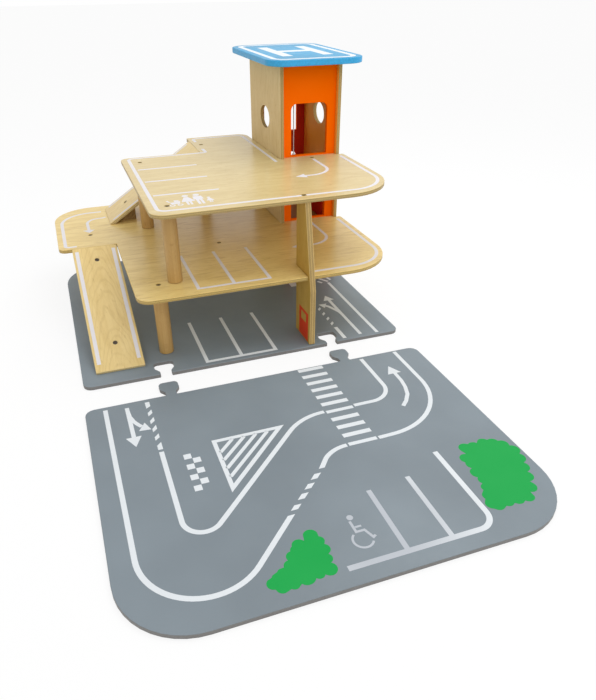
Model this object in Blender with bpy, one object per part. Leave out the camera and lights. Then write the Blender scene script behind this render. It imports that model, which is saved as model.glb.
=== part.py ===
"""Wooden toy parking garage: two play boards, two parking decks, two ramps and a lift tower.

Units are metres, +Z is up. The garage is laid out around the middle of the rear board's front
edge, and the parent empty then moves it so that the origin is the bottom centre of the whole toy.
"""
import math

import bmesh
import bpy
from mathutils import Matrix, Vector

# Sheet thicknesses and general clearances
PLY = 0.006
THICK_PLY = 0.009
FIT = 0.0003
SLIDE_GAP = 0.001
EDGE_ROUNDING = 0.0008

# Play boards on the floor
BOARD_WIDTH = 0.500
REAR_BOARD_DEPTH = 0.450
FRONT_BOARD_DEPTH = 0.381
BOARD_GAP = 0.0565
FRONT_BOARD_OFFSET = 0.0035
BOARD_SMALL_RADIUS = 0.0125
BOARD_LARGE_RADIUS = 0.080

# Puzzle tabs on the front board and their sockets in the rear board
TAB_SPACING = 0.264
TAB_NECK_WIDTH = 0.0150
TAB_NECK_LENGTH = 0.008
TAB_HEAD_WIDTH = 0.0275
TAB_SHOULDER = 0.009
TAB_LENGTH = 0.033
TAB_RADIUS = 0.006
TAB_SHOULDER_RADIUS = 0.003
TAB_ROOT_RADIUS = 0.0015
TAB_CLEARANCE = 0.0008

# Storeys and posts
STOREY_HEIGHT = 0.112
POST_DIAMETER = 0.022
POST_CHAMFER = 0.0006

# Lower ramp, which runs back along the left side
LOWER_RAMP_INSET = 0.0205
LOWER_RAMP_WIDTH = 0.0715
LOWER_RAMP_TOE_Y = 0.0295
LOWER_RAMP_TOE_HEIGHT = 0.0037

# Upper ramp, which runs right along the back
UPPER_RAMP_BACK_INSET = 0.025
UPPER_RAMP_WIDTH = 0.088
UPPER_RAMP_RUN = 0.172
UPPER_RAMP_TOE_HEIGHT = 0.0015
UPPER_RAMP_TOE_INSET = 0.001

# Lower deck
LOWER_DECK_SETBACK = 0.0135
LOWER_DECK_FRONT_LEFT_RADIUS = 0.020
LOWER_DECK_FRONT_RIGHT_RADIUS = 0.083
LOWER_DECK_BACK_RADIUS = 0.068
LOWER_DECK_STEP_RADIUS = 0.011
DECK_BACK_OVERHANG = 0.011
DECK_TOWER_CORNER_RADIUS = 0.020
DECK_SMALL_RADIUS = 0.003
RELIEF_RADIUS = 0.0022

# Upper deck
UPPER_DECK_SETBACK = 0.0295
UPPER_DECK_LEFT_INSET = 0.034
UPPER_DECK_FRONT_LEFT_RADIUS = 0.020
UPPER_DECK_FRONT_RIGHT_RADIUS = 0.080
UPPER_DECK_BACK_LEFT_RADIUS = 0.012

# Posts, measured from the deck edges that they carry
LOWER_FRONT_POST_INSET_X = 0.0370
LOWER_FRONT_POST_INSET_Y = 0.0500
LOWER_LEFT_POST_INSET_X = 0.0553
LOWER_LEFT_POST_INSET_Y = 0.0588
UPPER_POST_INSET_X = 0.0285
UPPER_FRONT_POST_INSET_Y = 0.0380
UPPER_LEFT_POST_INSET_Y = 0.0350
UPPER_REAR_POST_INSET_X = 0.0149
UPPER_REAR_POST_INSET_Y = 0.0600

# Pylon between the board and the upper deck
PYLON_TO_TOWER = 0.0353
PYLON_FRONT = 0.0045
PYLON_DEPTH = 0.0610
PYLON_TOP_DEPTH = 0.0345
PYLON_KNEE_HEIGHT = 0.0970
PYLON_ROUNDING = 0.0006

# Lift tower
TOWER_FRONT = 0.2485
TOWER_WIDTH = 0.108
TOWER_DEPTH = 0.168
TOWER_RIGHT_INSET = 0.0075
TOWER_HEADROOM = 0.0335
PANEL_INSET = 0.008
DOOR_WIDTH = 0.065
DOOR_TOP = 0.0845
DOOR_SILL = 0.002
BACK_DOOR_SILL = 0.012
DOOR_RADIUS = 0.010
DOOR_FOOT_RADIUS = 0.0015
WINDOW_LENGTH = 0.050
WINDOW_HEIGHT = 0.037
WINDOW_CENTRE_HEIGHT = 0.054
WINDOW_POINTS = 36

# Roof
ROOF_SIDE_OVERHANG = 0.028
ROOF_FRONT_OVERHANG = 0.038
ROOF_BACK_OVERHANG = 0.038
ROOF_RADIUS = 0.032
ROOF_CLEAT_SIZE = 0.012
ROOF_CLEAT_END_GAP = 0.0400

# Cleats under the decks and blocks under the ramps
CLEAT_HEIGHT = 0.015
CLEAT_DEPTH = 0.014
BATTEN_INSET_X = 0.1619
BATTEN_INSET_Y = 0.0529
BATTEN_LENGTH = 0.120
BATTEN_WIDTH = 0.018
RAMP_CLEAT_REACH = 0.016
RAMP_CLEAT_LENGTH = 0.060
UPPER_RAMP_CLEAT_LENGTH = 0.036
RAMP_CLEAT_SIDE_GAP = 0.004
FOOT_BLOCK_LENGTH = 0.026
FOOT_BLOCK_WIDTH = 0.060

# Lift cage
CAGE_CLEARANCE = 0.002
CAGE_REST_DROP = 0.008
CAGE_DOOR_MARGIN = 0.0005
CAGE_SIDE_HEIGHT = 0.090
CAGE_SIDE_INSET = 0.003
CAGE_SIDE_RADIUS = 0.010
CAGE_BAR_DEPTH = 0.020
CORD_DIAMETER = 0.0018
BEAD_DIAMETER = 0.007

# Winding shaft and crank
SHAFT_DIAMETER = 0.012
SHAFT_DROP = 0.027
SHAFT_FRONT_PLAY = 0.0015
BEARING_BLOCK_SIZE = 0.030
BEARING_BLOCK_DEPTH = 0.012
CRANK_WHEEL_DIAMETER = 0.044
CRANK_WHEEL_GAP = 0.002
CRANK_SOCKET_DEPTH = 0.007
CRANK_KNOB_RADIUS = 0.014
KNOB_DIAMETER = 0.010
KNOB_LENGTH = 0.020
KNOB_STEM_DIAMETER = 0.006
WINDING_TURNS = 4
WINDING_PITCH = 0.0026
WINDING_POINTS = 24

# Countersunk screws
SCREW_HEAD_DIAMETER = 0.0070
SCREW_HEAD_HEIGHT = 0.0022
SCREW_SHANK_DIAMETER = 0.0035
SCREW_TIP_LENGTH = 0.003
SCREW_SINK = 0.0010
SCREW_HEAD_GAP = 0.0004
POST_SCREW_LENGTH = 0.026
SHORT_SCREW_LENGTH = 0.016
BATTEN_SCREW_LENGTH = 0.010
LOWER_RAMP_TOP_SCREW = 0.0258
LOWER_RAMP_FOOT_SCREW = 0.0426
UPPER_RAMP_FOOT_SCREW = 0.0355
PILOT_EXTRA_DEPTH = 0.003
SCREW_SIDES = 12

# Turns of a flat sheet: outlines given as (y, z) stand along +X, and those as (x, z) along -Y
UPRIGHT_ALONG_Y = (math.pi / 2, 0, math.pi / 2)
UPRIGHT_ALONG_X = (math.pi / 2, 0, 0)

# Facets of round shapes
POST_SIDES = 32
SMALL_ROUND_SIDES = 24
BEAD_SEGMENTS = 16
BEAD_RINGS = 10
SMOOTH_ANGLE = math.radians(30)
ARRIS_ANGLE = math.radians(40)
SMALL_ARC_STEPS = 4
LARGE_ARC_STEPS = 11
LARGE_ARC_RADIUS = 0.018

# Heights of the floors
BOARD_TOP = PLY
LOWER_DECK_TOP = BOARD_TOP + STOREY_HEIGHT
UPPER_DECK_TOP = LOWER_DECK_TOP + STOREY_HEIGHT
TOWER_TOP = UPPER_DECK_TOP + STOREY_HEIGHT + TOWER_HEADROOM
FLOOR_HEIGHTS = (BOARD_TOP, LOWER_DECK_TOP, UPPER_DECK_TOP)

# Edges seen from above
LEFT_EDGE = -BOARD_WIDTH / 2
RIGHT_EDGE = BOARD_WIDTH / 2
DECK_BACK = REAR_BOARD_DEPTH + DECK_BACK_OVERHANG
TOWER_BACK = TOWER_FRONT + TOWER_DEPTH
TOWER_RIGHT = RIGHT_EDGE - TOWER_RIGHT_INSET
TOWER_LEFT = TOWER_RIGHT - TOWER_WIDTH
TOWER_CENTRE_X = (TOWER_LEFT + TOWER_RIGHT) / 2
TOWER_CENTRE_Y = (TOWER_FRONT + TOWER_BACK) / 2
PANEL_FRONT = TOWER_FRONT + PANEL_INSET
PANEL_BACK = TOWER_BACK - PANEL_INSET
STEP_LINE = TOWER_FRONT - FIT
LOWER_RAMP_LEFT = LEFT_EDGE + LOWER_RAMP_INSET
LOWER_RAMP_CENTRE = LOWER_RAMP_LEFT + LOWER_RAMP_WIDTH / 2
MAIN_LEFT = LOWER_RAMP_LEFT + LOWER_RAMP_WIDTH + SLIDE_GAP
UPPER_LEFT = MAIN_LEFT + UPPER_DECK_LEFT_INSET
UPPER_RAMP_TOE_X = MAIN_LEFT + UPPER_RAMP_TOE_INSET
UPPER_RAMP_TOP_X = UPPER_RAMP_TOE_X + UPPER_RAMP_RUN
UPPER_RAMP_BACK = DECK_BACK - UPPER_RAMP_BACK_INSET
UPPER_RAMP_CENTRE = UPPER_RAMP_BACK - UPPER_RAMP_WIDTH / 2
BRIDGE_LEFT = UPPER_RAMP_TOP_X + FIT
UPPER_MAIN_BACK = UPPER_RAMP_BACK - UPPER_RAMP_WIDTH - SLIDE_GAP
PYLON_CENTRE_X = TOWER_LEFT - PYLON_TO_TOWER
PYLON_BACK = PYLON_FRONT + PYLON_DEPTH
PYLON_TOP_FRONT = PYLON_BACK - PYLON_TOP_DEPTH
PYLON_SCREW_Y = (PYLON_TOP_FRONT + PYLON_BACK) / 2
CLEAT_BACK = PANEL_FRONT - FIT
DECK_CLEAT_SCREW_Y = STEP_LINE - CLEAT_DEPTH / 2 + FIT

# Post centres
LOWER_POSTS = {
    "lower_post_front": (
        MAIN_LEFT + LOWER_FRONT_POST_INSET_X,
        LOWER_DECK_SETBACK + LOWER_FRONT_POST_INSET_Y,
    ),
    "lower_post_left": (
        LEFT_EDGE + LOWER_LEFT_POST_INSET_X,
        STEP_LINE + LOWER_LEFT_POST_INSET_Y,
    ),
}
UPPER_POSTS = {
    "upper_post_front": (
        UPPER_LEFT + UPPER_POST_INSET_X,
        UPPER_DECK_SETBACK + UPPER_FRONT_POST_INSET_Y,
    ),
    "upper_post_left": (
        UPPER_LEFT + UPPER_POST_INSET_X,
        UPPER_MAIN_BACK - UPPER_LEFT_POST_INSET_Y,
    ),
    "upper_post_rear": (
        BRIDGE_LEFT + UPPER_REAR_POST_INSET_X,
        DECK_BACK - UPPER_REAR_POST_INSET_Y,
    ),
}
BATTEN_PLACE = (MAIN_LEFT + BATTEN_INSET_X, STEP_LINE - BATTEN_INSET_Y)

# Lift cage at its parked height, a little below the lower deck
CAGE_FLOOR_TOP = LOWER_DECK_TOP - CAGE_REST_DROP
CAGE_FLOOR_FRONT = PANEL_FRONT + PLY + CAGE_CLEARANCE
CAGE_FLOOR_BACK = PANEL_BACK - PLY - CAGE_CLEARANCE
CAGE_FLOOR_WIDTH = TOWER_WIDTH - 2 * (PLY + CAGE_CLEARANCE)
CAGE_SIDE_INNER = DOOR_WIDTH / 2 + CAGE_DOOR_MARGIN
CAGE_BAR_BOTTOM = CAGE_FLOOR_TOP + CAGE_SIDE_HEIGHT + 2 * FIT
CAGE_BAR_TOP = CAGE_BAR_BOTTOM + THICK_PLY
BEAD_CENTRE_Z = CAGE_BAR_TOP + FIT + BEAD_DIAMETER / 2

# Winding shaft, whose right side lets the cord down the middle of the tower
WINDING_RADIUS = (SHAFT_DIAMETER + CORD_DIAMETER) / 2 + FIT
SHAFT_X = TOWER_CENTRE_X - WINDING_RADIUS
SHAFT_Z = TOWER_TOP - SHAFT_DROP
SHAFT_START = PANEL_FRONT + PLY + SHAFT_FRONT_PLAY
CRANK_WHEEL_FRONT = PANEL_BACK + CRANK_WHEEL_GAP
SHAFT_END = CRANK_WHEEL_FRONT + CRANK_SOCKET_DEPTH - FIT
CORD_TOP = SHAFT_Z - CORD_DIAMETER - FIT

# Colours as linear red, green and blue
BIRCH = (0.73, 0.57, 0.35)
BIRCH_WALL = (0.62, 0.47, 0.30)
BEECH = (0.50, 0.33, 0.17)
GREY_PAINT = (0.24, 0.27, 0.29)
ORANGE_PAINT = (0.82, 0.13, 0.01)
BLUE_PAINT = (0.08, 0.38, 0.72)
WHITE_CORD = (0.80, 0.80, 0.78)
DARK_STEEL = (0.10, 0.10, 0.10)


def clear_scene():
    """Remove whatever objects the file opened with."""
    for item in list(bpy.data.objects):
        bpy.data.objects.remove(item, do_unlink=True)


def make_material(name, colour, roughness, metallic=0.0):
    """Return a Principled material."""
    material = bpy.data.materials.new(name)
    material.use_nodes = True
    shader = material.node_tree.nodes["Principled BSDF"]
    shader.inputs["Base Color"].default_value = (*colour, 1.0)
    shader.inputs["Roughness"].default_value = roughness
    shader.inputs["Metallic"].default_value = metallic
    material.diffuse_color = (*colour, 1.0)
    return material


def add_empty(name, location, parent=None):
    """Add an empty that carries a moving group, on that group's axis."""
    empty = bpy.data.objects.new(name, None)
    empty.location = location
    empty.parent = parent
    bpy.context.scene.collection.objects.link(empty)
    return empty


def add_piece(name, mesh, material, parent, location=(0, 0, 0), rotation=(0, 0, 0)):
    """Add a named object that shows a mesh, placed in its parent's frame."""
    piece = bpy.data.objects.new(name, mesh)
    piece.parent = parent
    piece.location = location
    piece.rotation_euler = rotation
    mesh.materials.append(material)
    bpy.context.scene.collection.objects.link(piece)
    return piece


def arc_steps(radius, sweep):
    """Return how many straight steps an arc gets."""
    quarter = LARGE_ARC_STEPS if radius > LARGE_ARC_RADIUS else SMALL_ARC_STEPS
    return max(1, round(quarter * sweep / (math.pi / 2)))


def rounded_outline(corners):
    """Return the points of an outline whose corners (x, y, radius) are rounded."""
    points = []
    count = len(corners)
    for index, (x, y, radius) in enumerate(corners):
        here = Vector((x, y))
        before = Vector(corners[index - 1][:2])
        after = Vector(corners[(index + 1) % count][:2])
        if radius <= 0:
            points.append(here)
            continue
        way_in = (before - here).normalized()
        way_out = (after - here).normalized()
        half_angle = way_in.angle(way_out) / 2
        reach = radius / math.tan(half_angle)
        middle = here + (way_in + way_out).normalized() * (radius / math.sin(half_angle))
        start = here + way_in * reach - middle
        sweep = math.pi - 2 * half_angle
        turn = 1 if way_in.x * way_out.y - way_in.y * way_out.x < 0 else -1
        steps = arc_steps(radius, sweep)
        for step in range(steps + 1):
            angle = turn * sweep * step / steps
            points.append(middle + Matrix.Rotation(angle, 2) @ start)
    return points


def ellipse(centre_x, centre_y, length, height):
    """Return the points of an ellipse."""
    points = []
    for index in range(WINDOW_POINTS):
        angle = 2 * math.pi * index / WINDOW_POINTS
        x = centre_x + length / 2 * math.cos(angle)
        y = centre_y + height / 2 * math.sin(angle)
        points.append(Vector((x, y)))
    return points


def prism_mesh(name, outline, thickness, bottom=0.0):
    """Return a sheet of the given outline, from bottom upwards."""
    shape = bmesh.new()
    base = [shape.verts.new((p[0], p[1], bottom)) for p in outline]
    face = shape.faces.new(base)
    grown = bmesh.ops.extrude_face_region(shape, geom=[face])
    moved = [item for item in grown["geom"] if isinstance(item, bmesh.types.BMVert)]
    bmesh.ops.translate(shape, verts=moved, vec=(0, 0, thickness))
    bmesh.ops.recalc_face_normals(shape, faces=shape.faces)
    mesh = bpy.data.meshes.new(name)
    shape.to_mesh(mesh)
    shape.free()
    return mesh


def add_turned(shape, profile, sides, placement=None):
    """Turn a profile of (radius, height) points about Z and add it to a bmesh."""
    rings = []
    made = []
    for radius, height in profile:
        if radius == 0:
            ring = [shape.verts.new((0, 0, height))]
        else:
            ring = []
            for index in range(sides):
                angle = 2 * math.pi * index / sides
                x = radius * math.cos(angle)
                y = radius * math.sin(angle)
                ring.append(shape.verts.new((x, y, height)))
        rings.append(ring)
        made.extend(ring)
    for lower, upper in zip(rings, rings[1:]):
        for index in range(sides):
            following = (index + 1) % sides
            corners = [lower[index % len(lower)], lower[following % len(lower)]]
            corners += [upper[following % len(upper)], upper[index % len(upper)]]
            shape.faces.new(list(dict.fromkeys(corners)))
    if placement is not None:
        bmesh.ops.transform(shape, matrix=placement, verts=made)


def turned_mesh(name, profile, sides, placements=(None,)):
    """Return one mesh with the same turned shape at each placement."""
    shape = bmesh.new()
    for placement in placements:
        add_turned(shape, profile, sides, placement)
    bmesh.ops.recalc_face_normals(shape, faces=shape.faces)
    mesh = bpy.data.meshes.new(name)
    shape.to_mesh(mesh)
    shape.free()
    mesh.shade_smooth()
    mesh.set_sharp_from_angle(angle=SMOOTH_ANGLE)
    return mesh


def box_mesh(name, size, centre=(0, 0, 0)):
    """Return a box of the given size about a centre."""
    shape = bmesh.new()
    bmesh.ops.create_cube(shape, size=1.0)
    bmesh.ops.scale(shape, vec=size, verts=shape.verts)
    bmesh.ops.translate(shape, vec=centre, verts=shape.verts)
    mesh = bpy.data.meshes.new(name)
    shape.to_mesh(mesh)
    shape.free()
    return mesh


def soften(piece, width=EDGE_ROUNDING, segments=2):
    """Round the arrises of a piece."""
    bevel = piece.modifiers.new("arrises", "BEVEL")
    bevel.width = width
    bevel.segments = segments
    bevel.limit_method = "ANGLE"
    bevel.angle_limit = ARRIS_ANGLE


def cut(piece, cutter_mesh):
    """Cut a mesh out of a piece. The cutter shares the piece's placement."""
    cutter = bpy.data.objects.new(piece.name + "_cutter", cutter_mesh)
    cutter.parent = piece.parent
    cutter.location = piece.location
    cutter.rotation_euler = piece.rotation_euler
    cutter.hide_render = True
    cutter.display_type = "WIRE"
    bpy.context.scene.collection.objects.link(cutter)
    boolean = piece.modifiers.new("cut", "BOOLEAN")
    boolean.operation = "DIFFERENCE"
    boolean.solver = "EXACT"
    boolean.object = cutter


def screw_profile(length):
    """Return the profile of a countersunk screw whose head's top is at the height 0."""
    head = SCREW_HEAD_DIAMETER / 2
    shank = SCREW_SHANK_DIAMETER / 2
    return [
        (0, 0),
        (head, 0),
        (shank, -SCREW_HEAD_HEIGHT),
        (shank, -length + SCREW_TIP_LENGTH),
        (0, -length),
    ]


def sunk_hole_profile(depth):
    """Return the profile of a countersunk hole whose mouth is at the height 0."""
    head = SCREW_HEAD_DIAMETER / 2 + SCREW_HEAD_GAP
    shank = SCREW_SHANK_DIAMETER / 2 + FIT
    floor = -SCREW_SINK - FIT
    return [
        (0, SCREW_SINK),
        (head, SCREW_SINK),
        (head, floor),
        (shank, floor - SCREW_HEAD_HEIGHT),
        (shank, -depth),
        (0, -depth),
    ]


def pilot_profile(depth):
    """Return the profile of a plain screw hole whose mouth is at the height 0."""
    shank = SCREW_SHANK_DIAMETER / 2 + FIT
    return [(0, SCREW_SINK), (shank, SCREW_SINK), (shank, -depth), (0, -depth)]


def pilot_depth(length, sheet):
    """Return how deep a screw's hole goes below the sheet that its head is in."""
    return length + SCREW_SINK - sheet + PILOT_EXTRA_DEPTH


def upright(x, y, z):
    """Return the placement of a screw that goes down at a point."""
    return Matrix.Translation((x, y, z))


def upside_down(x, y, z):
    """Return the placement of a screw that goes up at a point."""
    return Matrix.Translation((x, y, z)) @ Matrix.Rotation(math.pi, 4, "X")


def add_screws(name, mouths, length, material, parent):
    """Add like screws, one object each, sunk below the mouths of their holes."""
    mesh = turned_mesh(name, screw_profile(length), SCREW_SIDES)
    mesh.materials.append(material)
    for number, mouth in enumerate(mouths, 1):
        place = mouth @ Matrix.Translation((0, 0, -SCREW_SINK))
        screw = bpy.data.objects.new(f"{name}_{number}", mesh)
        screw.parent = parent
        screw.location = place.to_translation()
        screw.rotation_euler = place.to_euler()
        bpy.context.scene.collection.objects.link(screw)


def tab_corners(centre, direction, grow=0.0):
    """Return the corners of a puzzle tab whose root is on the line y = 0, from left to right or back."""
    neck = TAB_NECK_WIDTH / 2 + grow
    head = TAB_HEAD_WIDTH / 2 + grow
    end = TAB_LENGTH + grow
    shoulder = TAB_NECK_LENGTH + TAB_SHOULDER
    return [
        (centre - neck * direction, 0, TAB_ROOT_RADIUS),
        (centre - neck * direction, TAB_NECK_LENGTH, TAB_SHOULDER_RADIUS),
        (centre - head * direction, shoulder, TAB_SHOULDER_RADIUS),
        (centre - head * direction, end, TAB_RADIUS),
        (centre + head * direction, end, TAB_RADIUS),
        (centre + head * direction, shoulder, TAB_SHOULDER_RADIUS),
        (centre + neck * direction, TAB_NECK_LENGTH, TAB_SHOULDER_RADIUS),
        (centre + neck * direction, 0, TAB_ROOT_RADIUS),
    ]


def board_screw_mouths():
    """Return the screw holes in the rear board's underside."""
    places = list(LOWER_POSTS.values()) + [(PYLON_CENTRE_X, PYLON_SCREW_Y)]
    return [upside_down(x, y, 0) for x, y in places]


def lower_deck_top_mouths():
    """Return the screw holes in the lower deck's top."""
    places = list(LOWER_POSTS.values()) + [BATTEN_PLACE]
    return [upright(x, y, LOWER_DECK_TOP) for x, y in places]


def lower_deck_under_mouths():
    """Return the screw holes in the lower deck's underside."""
    return [upside_down(x, y, LOWER_DECK_TOP - PLY) for x, y in UPPER_POSTS.values()]


def upper_deck_mouths():
    """Return the screw holes in the upper deck's top."""
    places = list(UPPER_POSTS.values())
    places.append((PYLON_CENTRE_X, PYLON_SCREW_Y))
    places.append((TOWER_CENTRE_X, DECK_CLEAT_SCREW_Y))
    return [upright(x, y, UPPER_DECK_TOP) for x, y in places]


def holes_mesh(name, mouths):
    """Return the cutter for the countersunk holes through one sheet."""
    return turned_mesh(name, sunk_hole_profile(PLY + SCREW_SINK), SCREW_SIDES, mouths)


def make_rear_board(material, parent):
    """Grey rear board with two puzzle sockets in its front edge."""
    corners = [(LEFT_EDGE, 0, BOARD_SMALL_RADIUS)]
    for side in (-1, 1):
        corners += tab_corners(side * TAB_SPACING / 2, 1, TAB_CLEARANCE)
    corners += [
        (RIGHT_EDGE, 0, BOARD_SMALL_RADIUS),
        (RIGHT_EDGE, REAR_BOARD_DEPTH, BOARD_LARGE_RADIUS),
        (LEFT_EDGE, REAR_BOARD_DEPTH, BOARD_LARGE_RADIUS),
    ]
    mesh = prism_mesh("rear_board", rounded_outline(corners), PLY)
    board = add_piece("rear_board", mesh, material, parent)
    soften(board)
    cut(board, holes_mesh("rear_board_holes", board_screw_mouths()))
    return board


def make_front_board(material, parent):
    """Grey front board with two puzzle tabs on its rear edge."""
    left = LEFT_EDGE
    right = RIGHT_EDGE
    front = -FRONT_BOARD_DEPTH
    corners = [
        (left, front, BOARD_LARGE_RADIUS),
        (right, front, BOARD_LARGE_RADIUS),
        (right, 0, BOARD_SMALL_RADIUS),
    ]
    for side in (1, -1):
        corners += tab_corners(side * TAB_SPACING / 2, -1)
    corners.append((left, 0, BOARD_SMALL_RADIUS))
    mesh = prism_mesh("front_board", rounded_outline(corners), PLY)
    place = (-FRONT_BOARD_OFFSET, -BOARD_GAP, 0)
    board = add_piece("front_board", mesh, material, parent, place)
    soften(board)
    return board


def pylon_slot(setback):
    """Return the corners of the slot that lets the pylon through a deck's front edge."""
    half = THICK_PLY / 2 + FIT
    end = PYLON_BACK + FIT
    return [
        (PYLON_CENTRE_X - half, setback, 0),
        (PYLON_CENTRE_X - half, end, 0),
        (PYLON_CENTRE_X + half, end, 0),
        (PYLON_CENTRE_X + half, setback, 0),
    ]


def tower_side_corners():
    """Return a deck's corners around the tower, from the right edge to the back edge."""
    tongue_left = TOWER_LEFT + PLY + FIT
    tongue_right = TOWER_RIGHT - PLY - FIT
    tongue_back = PANEL_FRONT - FIT
    return [
        (RIGHT_EDGE, STEP_LINE, DECK_SMALL_RADIUS),
        (tongue_right, STEP_LINE, 0),
        (tongue_right, tongue_back, 0),
        (tongue_left, tongue_back, 0),
        (tongue_left, STEP_LINE, 0),
        (TOWER_LEFT - FIT, STEP_LINE, 0),
        (TOWER_LEFT - FIT, DECK_BACK, DECK_TOWER_CORNER_RADIUS),
    ]


def make_lower_deck(material, parent):
    """Lower parking deck, which wraps round the top of the lower ramp."""
    corners = [(MAIN_LEFT, LOWER_DECK_SETBACK, LOWER_DECK_FRONT_LEFT_RADIUS)]
    corners += pylon_slot(LOWER_DECK_SETBACK)
    corners.append((RIGHT_EDGE, LOWER_DECK_SETBACK, LOWER_DECK_FRONT_RIGHT_RADIUS))
    corners += tower_side_corners()
    corners += [
        (LEFT_EDGE, DECK_BACK, LOWER_DECK_BACK_RADIUS),
        (LEFT_EDGE, STEP_LINE, LOWER_DECK_STEP_RADIUS),
        (MAIN_LEFT - 2 * RELIEF_RADIUS, STEP_LINE, 0),
        (MAIN_LEFT - 2 * RELIEF_RADIUS, STEP_LINE + RELIEF_RADIUS, RELIEF_RADIUS / 2),
        (MAIN_LEFT, STEP_LINE + RELIEF_RADIUS, RELIEF_RADIUS / 2),
    ]
    mesh = prism_mesh("lower_deck", rounded_outline(corners), PLY, LOWER_DECK_TOP - PLY)
    deck = add_piece("lower_deck", mesh, material, parent)
    soften(deck)
    mouths = lower_deck_top_mouths() + lower_deck_under_mouths()
    cut(deck, holes_mesh("lower_deck_holes", mouths))
    return deck


def make_upper_deck(material, parent):
    """Upper parking deck with its bridge to the top of the upper ramp."""
    corners = [
        (UPPER_LEFT, UPPER_DECK_SETBACK, UPPER_DECK_FRONT_LEFT_RADIUS),
        (RIGHT_EDGE, UPPER_DECK_SETBACK, UPPER_DECK_FRONT_RIGHT_RADIUS),
    ]
    corners += tower_side_corners()
    corners += [
        (BRIDGE_LEFT, DECK_BACK, DECK_SMALL_RADIUS),
        (BRIDGE_LEFT, UPPER_MAIN_BACK, 0),
        (UPPER_LEFT, UPPER_MAIN_BACK, UPPER_DECK_BACK_LEFT_RADIUS),
    ]
    mesh = prism_mesh("upper_deck", rounded_outline(corners), PLY, UPPER_DECK_TOP - PLY)
    deck = add_piece("upper_deck", mesh, material, parent)
    soften(deck)
    cut(deck, holes_mesh("upper_deck_holes", upper_deck_mouths()))
    return deck


def make_post(name, place, floor, material, parent):
    """Round post between two floors, with a screw hole in each end."""
    bottom = floor + FIT
    height = STOREY_HEIGHT - PLY - 2 * FIT
    radius = POST_DIAMETER / 2
    hole = SCREW_SHANK_DIAMETER / 2 + FIT
    depth = pilot_depth(POST_SCREW_LENGTH, PLY)
    profile = [
        (0, depth),
        (hole, depth),
        (hole, 0),
        (radius - POST_CHAMFER, 0),
        (radius, POST_CHAMFER),
        (radius, height - POST_CHAMFER),
        (radius - POST_CHAMFER, height),
        (hole, height),
        (hole, height - depth),
        (0, height - depth),
    ]
    mesh = turned_mesh(name, profile, POST_SIDES)
    return add_piece(name, mesh, material, parent, (place[0], place[1], bottom))


def make_pylon(material, parent):
    """Upright board in front of the tower, which passes through the lower deck's slot."""
    bottom = BOARD_TOP + FIT
    top = UPPER_DECK_TOP - PLY - FIT
    outline = [
        Vector((PYLON_FRONT, bottom)),
        Vector((PYLON_BACK, bottom)),
        Vector((PYLON_BACK, top)),
        Vector((PYLON_TOP_FRONT, top)),
        Vector((PYLON_FRONT, PYLON_KNEE_HEIGHT)),
    ]
    mesh = prism_mesh("pylon", outline, THICK_PLY)
    place = (PYLON_CENTRE_X - THICK_PLY / 2, 0, 0)
    pylon = add_piece("pylon", mesh, material, parent, place, UPRIGHT_ALONG_Y)
    soften(pylon, PYLON_ROUNDING)
    centre = THICK_PLY / 2
    depth = pilot_depth(POST_SCREW_LENGTH, PLY)
    turn_up = Matrix.Rotation(-math.pi / 2, 4, "X")
    turn_down = Matrix.Rotation(math.pi / 2, 4, "X")
    mouths = [
        Matrix.Translation((PYLON_SCREW_Y, top, centre)) @ turn_up,
        Matrix.Translation((PYLON_SCREW_Y, bottom, centre)) @ turn_down,
    ]
    cut(pylon, turned_mesh("pylon_holes", pilot_profile(depth), SCREW_SIDES, mouths))
    return pylon


def ramp_outline(toe, toe_floor, toe_height, top, top_floor):
    """Return a ramp's section, as (distance, height), from its toe to its top end."""
    start = toe_floor + FIT
    slope = (top_floor - start - toe_height) / (top - toe)
    drop = PLY * math.sqrt(1 + slope * slope)
    flat_end = toe + (drop - toe_height) / slope
    outline = [
        Vector((toe, start)),
        Vector((flat_end, start)),
        Vector((top, top_floor - drop)),
        Vector((top, top_floor)),
        Vector((toe, start + toe_height)),
    ]
    return outline, slope, drop


def lower_ramp_shape():
    """Return the lower ramp's section, slope and upright thickness."""
    top = STEP_LINE - FIT
    return ramp_outline(
        LOWER_RAMP_TOE_Y, BOARD_TOP, LOWER_RAMP_TOE_HEIGHT, top, LOWER_DECK_TOP
    )


def upper_ramp_shape():
    """Return the upper ramp's section, slope and upright thickness."""
    return ramp_outline(
        UPPER_RAMP_TOE_X,
        LOWER_DECK_TOP,
        UPPER_RAMP_TOE_HEIGHT,
        UPPER_RAMP_TOP_X,
        UPPER_DECK_TOP,
    )


def lower_ramp_height(y):
    """Return the height of the lower ramp's top at a depth y."""
    outline, slope, drop = lower_ramp_shape()
    return LOWER_DECK_TOP - (outline[3][0] - y) * slope


def upper_ramp_height(x):
    """Return the height of the upper ramp's top at x."""
    outline, slope, drop = upper_ramp_shape()
    return UPPER_DECK_TOP - (outline[3][0] - x) * slope


def lower_ramp_mouths():
    """Return the screw holes in the lower ramp's top, square to its slope."""
    outline, slope, drop = lower_ramp_shape()
    tilt = Matrix.Rotation(math.atan(slope), 4, "X")
    places = [STEP_LINE - LOWER_RAMP_TOP_SCREW, LOWER_RAMP_TOE_Y + LOWER_RAMP_FOOT_SCREW]
    mouths = []
    for y in places:
        point = (LOWER_RAMP_CENTRE, y, lower_ramp_height(y))
        mouths.append(Matrix.Translation(point) @ tilt)
    return mouths


def upper_ramp_mouths():
    """Return the screw hole in the upper ramp's top, square to its slope."""
    outline, slope, drop = upper_ramp_shape()
    tilt = Matrix.Rotation(-math.atan(slope), 4, "Y")
    x = UPPER_RAMP_TOE_X + UPPER_RAMP_FOOT_SCREW
    point = (x, UPPER_RAMP_CENTRE, upper_ramp_height(x))
    return [Matrix.Translation(point) @ tilt]


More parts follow.
